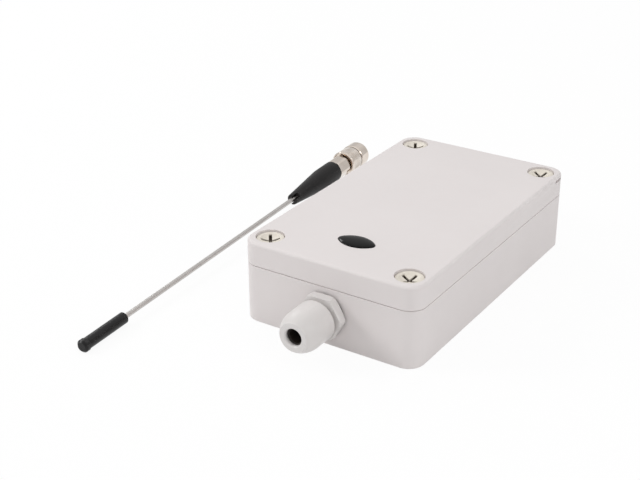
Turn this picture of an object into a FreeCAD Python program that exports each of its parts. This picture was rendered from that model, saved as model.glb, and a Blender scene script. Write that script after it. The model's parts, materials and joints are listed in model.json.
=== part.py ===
import FreeCAD, Part
import math
import os

# Wireless relay receiver: a screwed plastic enclosure with a cable gland on its front wall, an
# antenna socket on its rear wall, a relay board inside, and a rod antenna that lies beside it.
# All sizes are in millimetres. The origin is the centre of the enclosure's underside, +X points
# right seen from the gland, +Y runs from the gland to the antenna socket and +Z points up.

Vector = FreeCAD.Vector
X_AXIS = Vector(1, 0, 0)
Y_AXIS = Vector(0, 1, 0)
Z_AXIS = Vector(0, 0, 1)
same_place = 1e-6

# Enclosure
case_width = 90.0
case_length = 151.5
case_height = 39.6
parting_height = 28.0
case_wall = 3.2
floor_thickness = 3.0
lid_thickness = 3.0
corner_radius = 8.0
lid_edge_radius = 1.5
foot_edge_chamfer = 0.5
cavity_corner_radius = 3.0
cavity_notch_radius = 3.4
parting_relief_depth = 0.5
parting_relief_height = 0.35

# Lid screws and the corner columns that take them
screw_inset_x = 9.4
screw_inset_y = 9.9
recess_radius = 6.65
recess_depth = 4.4
recess_skin = 1.55
head_clearance = 0.25
head_sink = 0.9
head_rim_chamfer = 0.3
head_dish_radius = 4.7
head_dish_depth = 1.5
shank_radius = 2.5
shank_clearance = 0.35
shank_reach = 14.0
column_floor = 3.0
cross_length = 8.4
cross_width = 1.5
cross_depth = 2.2
screw_angles = {"front_left": 36.0, "front_right": -16.0, "rear_left": 29.0, "rear_right": -22.0}

# Wall fixing holes in the corner columns, outside the seal
fixing_pitch = 12.4
fixing_inset_x = 9.0
fixing_hole_radius = 2.2
fixing_channel_radius = 4.0
fixing_seat = 4.5
fixing_skin = 2.0

# Sealing tongue on the base, and the groove and gasket in the lid
tongue_offset = 0.9
tongue_width = 1.0
tongue_height = 1.5
groove_side_clearance = 0.35
groove_depth = 3.2
gasket_clearance = 0.04

# Slot in the lid's side for prising it off
pry_slot_length = 7.0
pry_slot_height = 1.4
pry_slot_depth = 1.6
pry_slot_from_rear = 5.6
pry_slot_from_top = 2.0

# Oval badge on the lid
badge_length = 18.4
badge_width = 11.0
badge_height = 1.5
badge_end_radius = 2.6
badge_edge_chamfer = 0.6
badge_recess = 0.4
badge_recess_clearance = 0.1
badge_from_front = 25.3

# Cable gland, measured outwards from the front wall
gland_height = 15.6
gland_gasket_thickness = 0.8
gland_gasket_radius = 9.5
gland_hex_flats = 19.6
gland_hex_thickness = 4.6
gland_hex_corner_radius = 11.0
gland_thread_radius = 7.9
gland_hole_clearance = 0.25
gland_bore_radius = 5.2
gland_neck_radius = 7.2
gland_neck_length = 8.4
gland_hex_bevel = 1.0
finger_radius = 7.1
finger_tip_radius = 6.4
finger_bore_radius = 5.8
finger_length = 7.0
finger_count = 6
finger_slot_width = 1.0
finger_root = 1.0
locknut_thickness = 4.8
locknut_flats = 19.6
locknut_clearance = 0.05
stub_past_locknut = 1.5
cap_gap = 1.1
cap_radius = 9.6
cap_rear_radius = 8.3
cap_flats = 18.9
cap_flat_length = 10.5
cap_length = 18.8
cap_dome_radius = 13.0
cap_rim_radius = 6.8
cap_thread_clearance = 0.3
cap_finger_clearance = 0.3
cap_mouth_radius = 4.0
cap_mouth_chamfer = 0.6
seal_bore_radius = 3.6
seal_clearance = 0.04
seal_cone_clearance = 0.4
seal_nose_wall = 0.5

# Antenna socket, measured outwards from the rear wall
socket_height = 15.0
socket_flange_flats = 14.0
socket_flange_thickness = 2.0
socket_barrel_radius = 4.83
socket_relief_radius = 4.5
socket_land_gap = 0.1
socket_barrel_length = 11.2
socket_bore_radius = 4.05
socket_bore_floor = 3.2
socket_thread_radius = 4.5
socket_hole_clearance = 0.2
socket_rear_radius = 3.2
socket_rear_length = 2.4
socket_thread_past_nut = 0.6
lug_radius = 0.95
lug_reach = 5.5
lug_from_front = 5.7
socket_insulator_radius = 2.45
socket_insulator_front = 1.6
socket_contact_radius = 1.05
socket_contact_front = 1.0
socket_contact_bore = 0.6
socket_contact_bore_depth = 4.9
socket_contact_tail = 1.4
socket_part_clearance = 0.03
tag_thickness = 0.6
tag_radius = 7.4
tag_length = 13.0
tag_width = 4.0
tag_eye_radius = 0.9
socket_nut_flats = 14.0
socket_nut_thickness = 2.4

# Main board
board_side_gap = 3.8
board_end_gap = 3.4
board_thickness = 1.6
board_corner_radius = 2.0
post_height = 5.0
post_radius = 3.5
post_hole_radius = 1.25
post_hole_depth = 5.0
post_inset = 4.5
board_hole_radius = 1.7
board_screw_head_radius = 2.9
board_screw_head_height = 1.9
board_screw_slot_width = 0.8
board_screw_slot_length = 3.2
board_screw_slot_depth = 0.9
board_screw_shank_radius = 1.15
board_screw_reach = 4.4

# Screw terminals along the board's front edge
terminal_pitch = 5.08
terminal_end_wall = 0.3
terminal_depth = 10.2
terminal_height = 13.6
terminal_front_gap = 0.8
terminal_shoulder_height = 9.6
terminal_shoulder_depth = 2.2
entry_width = 3.8
entry_height = 4.8
entry_floor = 1.3
entry_depth = 8.4
terminal_hole_radius = 2.0
terminal_screw_clearance = 0.15
terminal_screw_sink = 2.2
terminal_screw_setback = 4.6
terminal_slot_width = 0.7
terminal_slot_depth = 0.9
cage_wall = 0.6
cage_clearance = 0.1
cage_depth = 5.0
supply_poles = 2
output_poles = 3
supply_x = -16.0
output_x = 12.0

# Relay behind the output terminal
relay_length = 19.2
relay_width = 15.6
relay_height = 15.4
relay_gap = 3.0
relay_edge_chamfer = 0.6

# Fuse behind the supply terminal
fuse_length = 20.0
fuse_radius = 2.6
fuse_cap_length = 5.0
fuse_cap_step = 0.2
fuse_gap = 5.4
clip_wall = 0.5
clip_width = 4.0
clip_clearance = 0.04
clip_lift = 2.2
clip_rise = 1.2

# Power parts down the left side of the board
varistor_x = -31.0
varistor_gap = 4.5
varistor_radius = 4.6
varistor_thickness = 3.6
varistor_lead = 2.0
varistor_lead_pitch = 5.0
capacitor_x = -29.5
capacitor_gap = 2.5
capacitor_radius = 5.0
capacitor_height = 16.0
rectifier_x = -16.0
rectifier_gap = 4.0
rectifier_length = 14.4
rectifier_thickness = 3.6
rectifier_height = 10.0
rectifier_corner = 2.4
rectifier_lead = 2.0
rectifier_lead_pitch = 3.81
rectifier_leads = 4
regulator_x = -29.5
regulator_gap = 2.5
regulator_width = 10.0
regulator_body_depth = 3.2
regulator_body_height = 9.0
regulator_tab_thickness = 1.3
regulator_tab_height = 15.0
regulator_tab_hole_radius = 1.8
regulator_lead = 4.0

# Logic parts in the middle of the board
chip_x = -8.0
chip_length = 22.8
chip_body_width = 6.4
chip_height = 3.3
chip_notch_radius = 0.9
chip_pins_per_side = 9
lead_spacing = 2.54
chip_pin_width = 0.6
chip_socket_height = 4.0
chip_socket_width = 10.0
chip_socket_rail = 2.2
resistor_x = 17.0
resistor_count = 5
resistor_pitch = 2.8
resistor_length = 6.4
resistor_radius = 1.2
resistor_span = 10.16
lead_width = 0.55
film_x = -26.0
film_gap = 3.5
film_count = 3
film_pitch = 9.0
film_length = 7.2
film_thickness = 2.6
film_height = 6.5
film_edge = 0.4
transistor_x = 26.0
transistor_gap = 4.0
transistor_radius = 2.3
transistor_flat = 1.4
transistor_height = 4.8
transistor_lead = 3.0
transistor_lead_pitch = 1.27
diode_x = 27.5
diode_gap = 7.0
diode_radius = 1.35
diode_length = 5.2
diode_span = 10.0

# Learn button and status light
button_x = 30.0
button_gap = 4.0
button_width = 6.0
button_case_height = 3.6
button_case_radius = 0.4
button_plunger_radius = 1.7
button_plunger_clearance = 0.3
button_plunger_height = 5.2
button_travel = 0.25
button_floor = 2.0
button_stop_gap = 0.05
light_x = 30.0
light_gap = 4.0
light_radius = 1.5
light_flange_radius = 1.9
light_flange_height = 1.0
light_height = 5.0
light_bevel = 0.6

# Radio module on its pin strips
module_x = 8.0
module_rear_gap = 6.5
module_length = 44.0
module_width = 18.0
module_thickness = 1.0
module_lead_gap = 0.05
strip_width = 2.5
strip_edge_gap = 0.4
strip_pins = 10
strip_end_pins = 4
shield_x = 7.0
shield_length = 20.0
shield_width = 13.0
shield_height = 3.4
shield_wall = 0.3
shield_corner_radius = 0.8
shield_hole_radius = 1.0
coil_x = -13.6
coil_size = 5.6
coil_height = 6.0
coil_core_radius = 1.9
coil_core_depth = 1.0
crystal_x = -19.4
crystal_length = 11.0
crystal_width = 4.6
crystal_height = 3.6
crystal_end_radius = 2.2

# Straight screened lead from the antenna socket to the radio module
lead_radius = 1.3
lead_on_module = 4.5
clamp_width = 2.4
clamp_wall = 0.5
clamp_clearance = 0.1
clamp_foot = 1.6
clamp_from_edge = 2.2

# Rod antenna, measured along its axis from the plug's open end
antenna_side_gap = 50.2
antenna_rear_offset = 30.9
antenna_heading = 2.36
antenna_length = 246.3
nut_ring_radius = 7.1
nut_ring_length = 8.0
nut_ring_bevel = 0.6
nut_nose_length = 1.3
nut_nose_drop = 0.5
nut_groove_radius = 6.6
nut_groove_length = 0.6
nut_barrel_radius = 6.75
nut_barrel_length = 8.4
nut_tail_radius = 7.1
nut_tail_length = 1.6
nut_bore_radius = 5.75
nut_lip_radius = 4.7
nut_lip_length = 2.6
nut_mouth_radius = 6.4
nut_mouth_depth = 1.0
cam_slot_width = 2.3
cam_slot_radius = 6.25
cam_track_start = 4.6
cam_track_length = 2.4
cam_track_turn = 90.0
cam_track_count = 2
plug_sleeve_radius = 3.95
plug_sleeve_bore = 3.45
plug_sleeve_start = 2.4
plug_slit_width = 0.5
plug_slit_length = 5.5
plug_slit_count = 4
plug_web = 2.0
plug_core_start = 10.0
plug_core_radius = 4.35
plug_neck_length = 1.6
plug_neck_gap = 0.3
plug_neck_radius = 4.9
plug_hex_flats = 10.6
plug_hex_corner_radius = 5.75
plug_hex_length = 9.6
plug_hex_bevel = 0.5
plug_gasket_length = 1.6
plug_gasket_start = 8.2
plug_gasket_clearance = 0.04
plug_gasket_bore_clearance = 0.3
pin_radius = 0.68
pin_start = 3.6
pin_root_length = 3.4
insulator_start = 7.4
ferrule_radius = 3.2
ferrule_length = 12.0
boot_radius = 5.8
boot_shoulder = 14.0
boot_length = 43.2
boot_tip_radius = 3.0
boot_slit_length = 3.0
boot_slit_width = 2.6
boot_slit_lean = 49.0
boot_edge = 0.4
rod_radius = 1.2
rod_fit = 0.03
rod_into_cap = 26.0
cap_tip_radius = 3.1
cap_tip_length = 3.2
cap_tip_chamfer = 1.0
cap_body_radius = 2.75
cap_body_length = 26.6
cap_body_round = 0.8
cap_neck_ramp = 0.4

# Sizes worked out from the ones above
half_width = case_width / 2
half_length = case_length / 2
cavity_x = half_width - case_wall
cavity_y = half_length - case_wall
screw_x = half_width - screw_inset_x
screw_y = half_length - screw_inset_y
fixing_x = half_width - fixing_inset_x
fixing_y = screw_y - fixing_pitch
notch_x = screw_x - recess_radius - recess_skin
notch_y = fixing_y - fixing_channel_radius - fixing_skin
board_bottom = floor_thickness + post_height
board_top = board_bottom + board_thickness
board_half_x = cavity_x - board_side_gap
board_half_y = notch_y - board_end_gap
post_x = board_half_x - post_inset
post_y = board_half_y - post_inset
terminal_y = -board_half_y + terminal_front_gap
terminal_back = terminal_y + terminal_depth
fuse_y = terminal_back + fuse_gap
fuse_z = board_top + clip_lift + fuse_radius
relay_y = terminal_back + relay_gap + relay_length / 2
varistor_y = terminal_back + varistor_gap
capacitor_y = varistor_y + varistor_radius + capacitor_gap + capacitor_radius
regulator_face = capacitor_y + capacitor_radius + regulator_gap
regulator_y = regulator_face + regulator_body_depth + regulator_tab_thickness / 2
rectifier_y = fuse_y + fuse_radius + rectifier_gap + rectifier_thickness / 2
diode_y = terminal_back + diode_gap
transistor_y = diode_y + diode_radius + transistor_gap + transistor_radius
button_y = transistor_y + transistor_radius + button_gap + button_width / 2
module_y = board_half_y - module_rear_gap - module_width / 2
module_front = module_y - module_width / 2
film_y = module_front - film_gap - film_thickness / 2
light_y = module_front - light_gap - light_flange_radius
chip_y = (rectifier_y + rectifier_thickness / 2 + film_y - film_thickness / 2) / 2
resistor_middle = (relay_y + relay_length / 2 + module_front) / 2
module_top = socket_height - lead_radius - module_lead_gap
module_bottom = module_top - module_thickness


def box(x0, x1, y0, y1, z0, z1):
    """A block between two corners."""
    return Part.makeBox(x1 - x0, y1 - y0, z1 - z0, Vector(x0, y0, z0))


def centred_box(x, y, width, depth, z0, height):
    """A block standing on z0, centred on x and y."""
    return Part.makeBox(width, depth, height, Vector(x - width / 2, y - depth / 2, z0))


def rod(x, y, z0, z1, radius):
    """An upright round bar from z0 to z1."""
    return Part.makeCylinder(radius, z1 - z0, Vector(x, y, z0), Z_AXIS)


def tube(x, y, z0, z1, outer, inner):
    """An upright round tube from z0 to z1."""
    return rod(x, y, z0, z1, outer).cut(rod(x, y, z0, z1, inner))


def turned(profile):
    """A solid of revolution about the Z axis, from (radius, height) corners."""
    points = [Vector(r, 0, z) for r, z in profile]
    points.append(points[0])
    return Part.Face(Part.makePolygon(points)).revolve(Vector(0, 0, 0), Z_AXIS, 360)


def hex_prism(flats, z0, z1):
    """A hexagonal bar on the Z axis with two flats square to Y."""
    reach = flats / 2 / math.cos(math.radians(30))
    corners = [
        Vector(reach * math.cos(math.radians(a)), reach * math.sin(math.radians(a)), z0)
        for a in range(0, 361, 60)
    ]
    return Part.Face(Part.makePolygon(corners)).extrude(Vector(0, 0, z1 - z0))


def corner_cut(corner_radius_limit, bevel, z0, z1):
    """The turned envelope that takes the sharp corners off a hexagon's two faces."""
    return turned([
        (0, z0),
        (corner_radius_limit - bevel, z0),
        (corner_radius_limit, z0 + bevel / 2),
        (corner_radius_limit, z1 - bevel / 2),
        (corner_radius_limit - bevel, z1),
        (0, z1),
    ])


def rounded_outline(corners, z):
    """A closed wire through (x, y, radius) corners, with an arc at each of them."""
    count = len(corners)
    starts, mids, ends = [], [], []
    for i, (x, y, radius) in enumerate(corners):
        here = Vector(x, y, z)
        before = (Vector(corners[i - 1][0], corners[i - 1][1], z) - here).normalize()
        after_x, after_y, _ = corners[(i + 1) % count]
        after = (Vector(after_x, after_y, z) - here).normalize()
        half = before.getAngle(after) / 2
        reach = radius / math.tan(half)
        centre = here + (before + after).normalize() * (radius / math.sin(half))
        starts.append(here + before * reach)
        ends.append(here + after * reach)
        mids.append(centre + (here - centre).normalize() * radius)
    edges = []
    for i in range(count):
        edges.append(Part.Arc(starts[i], mids[i], ends[i]).toShape())
        edges.append(Part.LineSegment(ends[i], starts[(i + 1) % count]).toShape())
    return Part.Wire(edges)


def prism(corners, z0, z1):
    """An upright prism on an outline with rounded corners."""
    return Part.Face(rounded_outline(corners, z0)).extrude(Vector(0, 0, z1 - z0))


def rectangle(half_x, half_y, radius):
    """The corners of a rectangle centred on the origin."""
    return [
        (-half_x, -half_y, radius),
        (half_x, -half_y, radius),
        (half_x, half_y, radius),
        (-half_x, half_y, radius),
    ]


def cavity_corners(offset):
    """The hollow's outline, which steps round the four corner columns, grown by an offset."""
    x0, x1 = notch_x + offset, cavity_x + offset
    y0, y1 = notch_y + offset, cavity_y + offset
    outer = cavity_corner_radius + offset
    inner = cavity_notch_radius - offset
    return [
        (-x0, -y1, outer),
        (x0, -y1, outer),
        (x0, -y0, inner),
        (x1, -y0, outer),
        (x1, y0, outer),
        (x0, y0, inner),
        (x0, y1, outer),
        (-x0, y1, outer),
        (-x0, y0, inner),
        (-x1, y0, outer),
        (-x1, -y0, outer),
        (-x0, -y0, inner),
    ]


def cavity_ring(inner_offset, outer_offset, z0, z1):
    """A band that follows the hollow's outline."""
    outside = prism(cavity_corners(outer_offset), z0, z1)
    return outside.cut(prism(cavity_corners(inner_offset), z0, z1))


def on_wall(shape, y, z, turn):
    """Stand a shape built along Z on an upright wall: turn 90 points it to -Y, -90 to +Y."""
    placed = shape.copy()
    placed.rotate(Vector(0, 0, 0), X_AXIS, turn)
    placed.translate(Vector(0, y, z))
    return placed


def fuse_all(shapes):
    """Join shapes into one solid without seams on shared faces."""
    joined = shapes[0]
    for shape in shapes[1:]:
        joined = joined.fuse(shape)
    return joined.removeSplitter()


def edges_at_height(shape, z):
    """The edges that lie flat at one height."""
    return [
        e for e in shape.Edges
        if abs(e.BoundBox.ZMin - z) < same_place and abs(e.BoundBox.ZMax - z) < same_place
    ]


def corner_places():
    """Name and signs of the four corners."""
    return [
        ("front_left", -1, -1),
        ("front_right", 1, -1),
        ("rear_left", -1, 1),
        ("rear_right", 1, 1),
    ]


def make_base():
    """The lower shell: floor, walls, corner columns, sealing tongue and board posts."""
    block = prism(rectangle(half_width, half_length, corner_radius), 0, parting_height)
    block = block.makeChamfer(foot_edge_chamfer, edges_at_height(block, 0))
    block = block.cut(prism(cavity_corners(0), floor_thickness, parting_height))
    tongue = cavity_ring(
        tongue_offset, tongue_offset + tongue_width, parting_height, parting_height + tongue_height
    )
    posts = [
        rod(sx * post_x, sy * post_y, floor_thickness, board_bottom, post_radius)
        for _, sx, sy in corner_places()
    ]
    block = fuse_all([block, tongue] + posts)
    gland_hole = rod(0, 0, -1, case_wall + 1, gland_thread_radius + gland_hole_clearance)
    socket_hole = rod(0, 0, -1, case_wall + 1, socket_thread_radius + socket_hole_clearance)
    cuts = [
        on_wall(gland_hole, -half_length + case_wall, gland_height, 90),
        on_wall(socket_hole, half_length - case_wall, socket_height, -90),
    ]
    for _, sx, sy in corner_places():
        x, y = sx * screw_x, sy * screw_y
        cuts.append(rod(x, y, column_floor, parting_height, shank_radius + shank_clearance))
        x, y = sx * fixing_x, sy * fixing_y
        cuts.append(rod(x, y, fixing_seat, parting_height, fixing_channel_radius))
        cuts.append(rod(x, y, -1, fixing_seat, fixing_hole_radius))
        x, y = sx * post_x, sy * post_y
        cuts.append(rod(x, y, board_bottom - post_hole_depth, board_bottom, post_hole_radius))
    return block.cut(Part.makeCompound(cuts))


def make_lid():
    """The upper shell: rounded top edge, screw recesses, gasket groove and badge recess."""
    block = prism(rectangle(half_width, half_length, corner_radius), parting_height, case_height)
    block = block.makeFillet(lid_edge_radius, edges_at_height(block, case_height))
    inside = prism(cavity_corners(0), parting_height, case_height - lid_thickness)
    relief_top = parting_height + parting_relief_height
    outer = prism(rectangle(half_width, half_length, corner_radius), parting_height, relief_top)
    kept = prism(
        rectangle(
            half_width - parting_relief_depth,
            half_length - parting_relief_depth,
            corner_radius - parting_relief_depth,
        ),
        parting_height,
        relief_top,
    )
    groove = cavity_ring(
        tongue_offset - groove_side_clearance,
        tongue_offset + tongue_width + groove_side_clearance,
        parting_height,
        parting_height + groove_depth,
    )
    cuts = [inside, outer.cut(kept), groove, pry_slot(), badge_oval(badge_recess_clearance)]
    for _, sx, sy in corner_places():
        x, y = sx * screw_x, sy * screw_y
        seat = case_height - recess_depth
        cuts.append(rod(x, y, seat, case_height, recess_radius))
        cuts.append(rod(x, y, parting_height, seat, shank_radius + shank_clearance))
    for cut in cuts:
        block = block.cut(cut)
    return block


def pry_slot():
    """The short slot in the lid's right side near the rear corner."""
    y1 = half_length - pry_slot_from_rear
    z1 = case_height - pry_slot_from_top
    side = half_width - pry_slot_depth
    slot = box(side, half_width + 1, y1 - pry_slot_length, y1, z1 - pry_slot_height, z1)
    return slot.cut(
        prism(
            rectangle(
                half_width - pry_slot_depth,
                half_length - pry_slot_depth,
                corner_radius - pry_slot_depth,
            ),
            z1 - pry_slot_height,
            z1,
        )
    )


def badge_oval(growth):
    """The badge's oval, made of four arcs, from its recess floor up to past its top."""
    half_x, half_y = badge_length / 2, badge_width / 2
    offset = half_x - badge_end_radius
    side = (half_y ** 2 + offset ** 2 - badge_end_radius ** 2) / (2 * (half_y - badge_end_radius))
    centre_y = half_y - side
    meet = Vector(offset, -centre_y, 0).normalize() * (badge_end_radius + growth)
    joint_x, joint_y = offset + meet.x, meet.y
    middle_y = -half_length + badge_from_front
    z = case_height - badge_recess

    def at(x, y):
        return Vector(x, middle_y + y, z)

    outline = Part.Wire([
        Part.Arc(at(joint_x, -joint_y), at(half_x + growth, 0), at(joint_x, joint_y)).toShape(),
        Part.Arc(at(joint_x, joint_y), at(0, half_y + growth), at(-joint_x, joint_y)).toShape(),
        Part.Arc(at(-joint_x, joint_y), at(-half_x - growth, 0), at(-joint_x, -joint_y)).toShape(),
        Part.Arc(at(-joint_x, -joint_y), at(0, -half_y - growth), at(joint_x, -joint_y)).toShape(),
    ])
    return Part.Face(outline).extrude(Vector(0, 0, badge_height))


def make_badge():
    """The oval badge with its bevelled upper edge."""
    oval = badge_oval(0)
    top = case_height - badge_recess + badge_height
    return oval.makeChamfer(badge_edge_chamfer, edges_at_height(oval, top))


def make_gasket():
    """The sealing cord at the bottom of the lid's groove."""
    return cavity_ring(
        tongue_offset - groove_side_clearance + gasket_clearance,
        tongue_offset + tongue_width + groove_side_clearance - gasket_clearance,
        parting_height + tongue_height,
        parting_height + groove_depth,
    )


def make_lid_screw(name, sx, sy):
    """A captive lid screw: chamfered head with a dished face and a cross, and a plain shank."""
    seat = case_height - recess_depth
    top = case_height - head_sink
    low = parting_height - shank_reach
    head = recess_radius - head_clearance
    screw = turned([
        (0, low),
        (shank_radius, low),
        (shank_radius, seat),
        (head, seat),
        (head, top - head_rim_chamfer),
        (head - head_rim_chamfer, top),
        (0, top),
    ])
    ball = (head_dish_radius ** 2 + head_dish_depth ** 2) / (2 * head_dish_depth)
    screw = screw.cut(Part.makeSphere(ball, Vector(0, 0, top - head_dish_depth + ball)))
    arms = [
        centred_box(0, 0, cross_length, cross_width, top - cross_depth, cross_depth),
        centred_box(0, 0, cross_width, cross_length, top - cross_depth, cross_depth),
    ]
    for arm in arms:
        screw = screw.cut(arm)
    screw.rotate(Vector(0, 0, 0), Z_AXIS, screw_angles[name])
    screw.translate(Vector(sx * screw_x, sy * screw_y, 0))
    return screw


def gland_place(shape):
    """Put a gland piece, built along Z from the wall outwards, on the front wall."""
    return on_wall(shape, -half_length, gland_height, 90)


def make_gland_gasket():
    """The flat washer between the gland's hexagon and the wall."""
    ring = tube(0, 0, 0, gland_gasket_thickness, gland_gasket_radius,
                gland_thread_radius + locknut_clearance)
    return gland_place(ring)


def finger_span():
    """Where the clamping fingers begin and end, measured from the wall."""
    start = gland_gasket_thickness + gland_hex_thickness + gland_neck_length
    return start, start + finger_length


def cap_cone_height(radius):
    """Distance from the wall at which the cap's inner 45 degree cone has narrowed to a radius."""
    return finger_span()[1] + finger_tip_radius + cap_finger_clearance - radius


def make_gland_body():
    """The gland's body: inner thread stub, hexagon, neck and slotted clamping fingers."""
    hex_start = gland_gasket_thickness
    neck_start = hex_start + gland_hex_thickness
    finger_start, finger_end = finger_span()
    stub = case_wall + locknut_thickness + stub_past_locknut
    hexagon = hex_prism(gland_hex_flats, hex_start, neck_start).common(
        corner_cut(gland_hex_corner_radius, gland_hex_bevel, hex_start, neck_start)
    )
    fingers = turned([
        (0, finger_start),
        (finger_radius, finger_start),
        (finger_tip_radius, finger_end),
        (0, finger_end),
    ])
    body = fuse_all([
        rod(0, 0, -stub, hex_start, gland_thread_radius),
        hexagon,
        rod(0, 0, neck_start, finger_start, gland_neck_radius),
        fingers,
    ])
    body = body.cut(rod(0, 0, -stub, finger_start, gland_bore_radius))
    body = body.cut(rod(0, 0, finger_start, finger_end, finger_bore_radius))
    for i in range(finger_count // 2):
        slot = centred_box(0, 0, 2 * gland_neck_radius, finger_slot_width,
                           finger_start + finger_root, finger_length)
        slot.rotate(Vector(0, 0, 0), Z_AXIS, i * 360 / finger_count)
        body = body.cut(slot)
    return gland_place(body)


def make_gland_locknut():
    """The hexagonal nut that holds the gland from inside the wall."""
    start = -case_wall - locknut_thickness
    nut = hex_prism(locknut_flats, start, -case_wall)
    nut = nut.cut(rod(0, 0, start, -case_wall, gland_thread_radius + locknut_clearance))
    return gland_place(nut)


def gland_cap_start():
    """Distance of the cap nut's inner end from the wall."""
    return gland_gasket_thickness + gland_hex_thickness + cap_gap


def make_gland_seal():
    """The rubber sleeve that grips the cable inside the fingers, with a nose in the cap's cone."""
    start = finger_span()[0]
    outer = finger_bore_radius - seal_clearance
    nose = seal_bore_radius + seal_nose_wall
    sleeve = turned([
        (seal_bore_radius, start),
        (outer, start),
        (outer, cap_cone_height(outer) - seal_cone_clearance),
        (nose, cap_cone_height(nose) - seal_cone_clearance),
        (seal_bore_radius, cap_cone_height(nose) - seal_cone_clearance),
    ])
    return gland_place(sleeve)


def make_gland_cap():
    """The domed cap nut that squeezes the fingers round the cable."""
    start = gland_cap_start()
    end = start + cap_length
    crown_centre = cap_radius - cap_dome_radius
    crown_turn = math.acos((cap_rim_radius - crown_centre) / cap_dome_radius)
    dome = end - cap_dome_radius * math.sin(crown_turn)
    thread = gland_neck_radius + cap_thread_clearance
    mouth_edge = cap_mouth_radius + cap_mouth_chamfer
    crown = Part.Arc(
        Vector(cap_radius, 0, dome),
        Vector(
            crown_centre + cap_dome_radius * math.cos(crown_turn / 2),
            0,
            dome + cap_dome_radius * math.sin(crown_turn / 2),
        ),
        Vector(cap_rim_radius, 0, end),
    ).toShape()
    points = [
        Vector(cap_rim_radius, 0, end),
        Vector(mouth_edge, 0, end),
        Vector(cap_mouth_radius, 0, end - cap_mouth_chamfer),
        Vector(cap_mouth_radius, 0, cap_cone_height(cap_mouth_radius)),
        Vector(thread, 0, cap_cone_height(thread)),
        Vector(thread, 0, start),
        Vector(cap_rear_radius, 0, start),
        Vector(cap_radius, 0, start + cap_radius - cap_rear_radius),
        Vector(cap_radius, 0, dome),
    ]
    lines = [Part.LineSegment(a, b).toShape() for a, b in zip(points, points[1:])]
    profile = Part.Face(Part.Wire([crown] + lines))
    cap = profile.revolve(Vector(0, 0, 0), Z_AXIS, 360)
    flats = hex_prism(cap_flats, start, start + cap_flat_length)
    flats = flats.fuse(rod(0, 0, start + cap_flat_length, end, cap_radius + 1))
    return gland_place(cap.common(flats))


def socket_place(shape):
    """Put a socket piece, built along Z from the wall outwards, on the rear wall."""
    return on_wall(shape, half_length, socket_height, -90)


def socket_rear():
    """Distance of the socket body's inner end from the wall's outside, counted outwards."""
    return -(case_wall + tag_thickness + socket_nut_thickness + socket_rear_length)


def make_socket_body():
    """The bulkhead socket: hexagonal flange, barrel with two lugs, and thread through the wall."""
    end = socket_barrel_length
    thread_end = socket_rear() + socket_rear_length - socket_thread_past_nut
    lug_z = end - lug_from_front
    land = lug_z + lug_radius + socket_land_gap
    flange = hex_prism(socket_flange_flats, 0, socket_flange_thickness)
    lugs = Part.makeCylinder(lug_radius, 2 * lug_reach, Vector(-lug_reach, 0, lug_z), X_AXIS)
    body = fuse_all([
        flange,
        rod(0, 0, socket_flange_thickness, land, socket_relief_radius),
        rod(0, 0, land, end, socket_barrel_radius),
        rod(0, 0, thread_end, 0, socket_thread_radius),
        rod(0, 0, socket_rear(), thread_end, socket_rear_radius),
        lugs,
    ])
    body = body.cut(rod(0, 0, socket_bore_floor, end, socket_bore_radius))
    inner = socket_insulator_radius + socket_part_clearance
    return socket_place(body.cut(rod(0, 0, socket_rear(), socket_bore_floor, inner)))


def make_socket_insulator():
    """The white insulator round the centre contact."""
    end = socket_barrel_length - socket_insulator_front
    inner = socket_contact_radius + socket_part_clearance
    return socket_place(tube(0, 0, socket_rear(), end, socket_insulator_radius, inner))


def make_socket_contact():
    """The centre contact, bored at the front and with a solder tail at the rear."""
    end = socket_barrel_length - socket_insulator_front - socket_contact_front
    start = socket_rear() - socket_contact_tail
    contact = rod(0, 0, start, end, socket_contact_radius)
    bore = rod(0, 0, end - socket_contact_bore_depth, end, socket_contact_bore)
    return socket_place(contact.cut(bore))


def make_socket_tag():
    """The ring tag for the lead's screen, clamped between the wall and the nut."""
    z0 = -case_wall - tag_thickness
    ring = rod(0, 0, z0, -case_wall, tag_radius)
    tail = box(-tag_width / 2, tag_width / 2, 0, tag_length, z0, -case_wall)
    eye = rod(0, tag_length - tag_width / 2, z0, -case_wall, tag_eye_radius)
    hole = rod(0, 0, z0, -case_wall, socket_thread_radius + socket_part_clearance)
    tag = fuse_all([ring, tail]).cut(hole).cut(eye)
    tag.rotate(Vector(0, 0, 0), Z_AXIS, 90)
    return socket_place(tag)


def make_socket_nut():
    """The hexagonal nut that holds the socket from inside the wall."""
    z1 = -case_wall - tag_thickness
    z0 = z1 - socket_nut_thickness
    nut = hex_prism(socket_nut_flats, z0, z1)
    return socket_place(nut.cut(rod(0, 0, z0, z1, socket_thread_radius + socket_part_clearance)))


def make_board():
    """The main board with its four fixing holes."""
    board = prism(rectangle(board_half_x, board_half_y, board_corner_radius),
                  board_bottom, board_top)
    holes = [
        rod(sx * post_x, sy * post_y, board_bottom, board_top, board_hole_radius)
        for _, sx, sy in corner_places()
    ]
    return board.cut(Part.makeCompound(holes))


def make_board_screws():
    """Four pan-head screws that hold the board to its posts."""
    head_top = board_top + board_screw_head_height
    screws = []
    for _, sx, sy in corner_places():
        screw = turned([
            (0, board_bottom - board_screw_reach),
            (board_screw_shank_radius, board_bottom - board_screw_reach),
            (board_screw_shank_radius, board_top),
            (board_screw_head_radius, board_top),
            (board_screw_head_radius, head_top),
            (0, head_top),
        ])
        arms = (board_screw_slot_width, board_screw_slot_length)
        for slot_x, slot_y in (arms, arms[::-1]):
            slot = centred_box(0, 0, slot_x, slot_y, head_top - board_screw_slot_depth,
                               board_screw_slot_depth)
            screw = screw.cut(slot)
        screw.translate(Vector(sx * post_x, sy * post_y, 0))
        screws.append(screw)
    return Part.makeCompound(screws)


def pole_places(x, poles):
    """The X positions of a terminal block's poles."""
    first = x - (poles - 1) * terminal_pitch / 2
    return [first + i * terminal_pitch for i in range(poles)]


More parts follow.
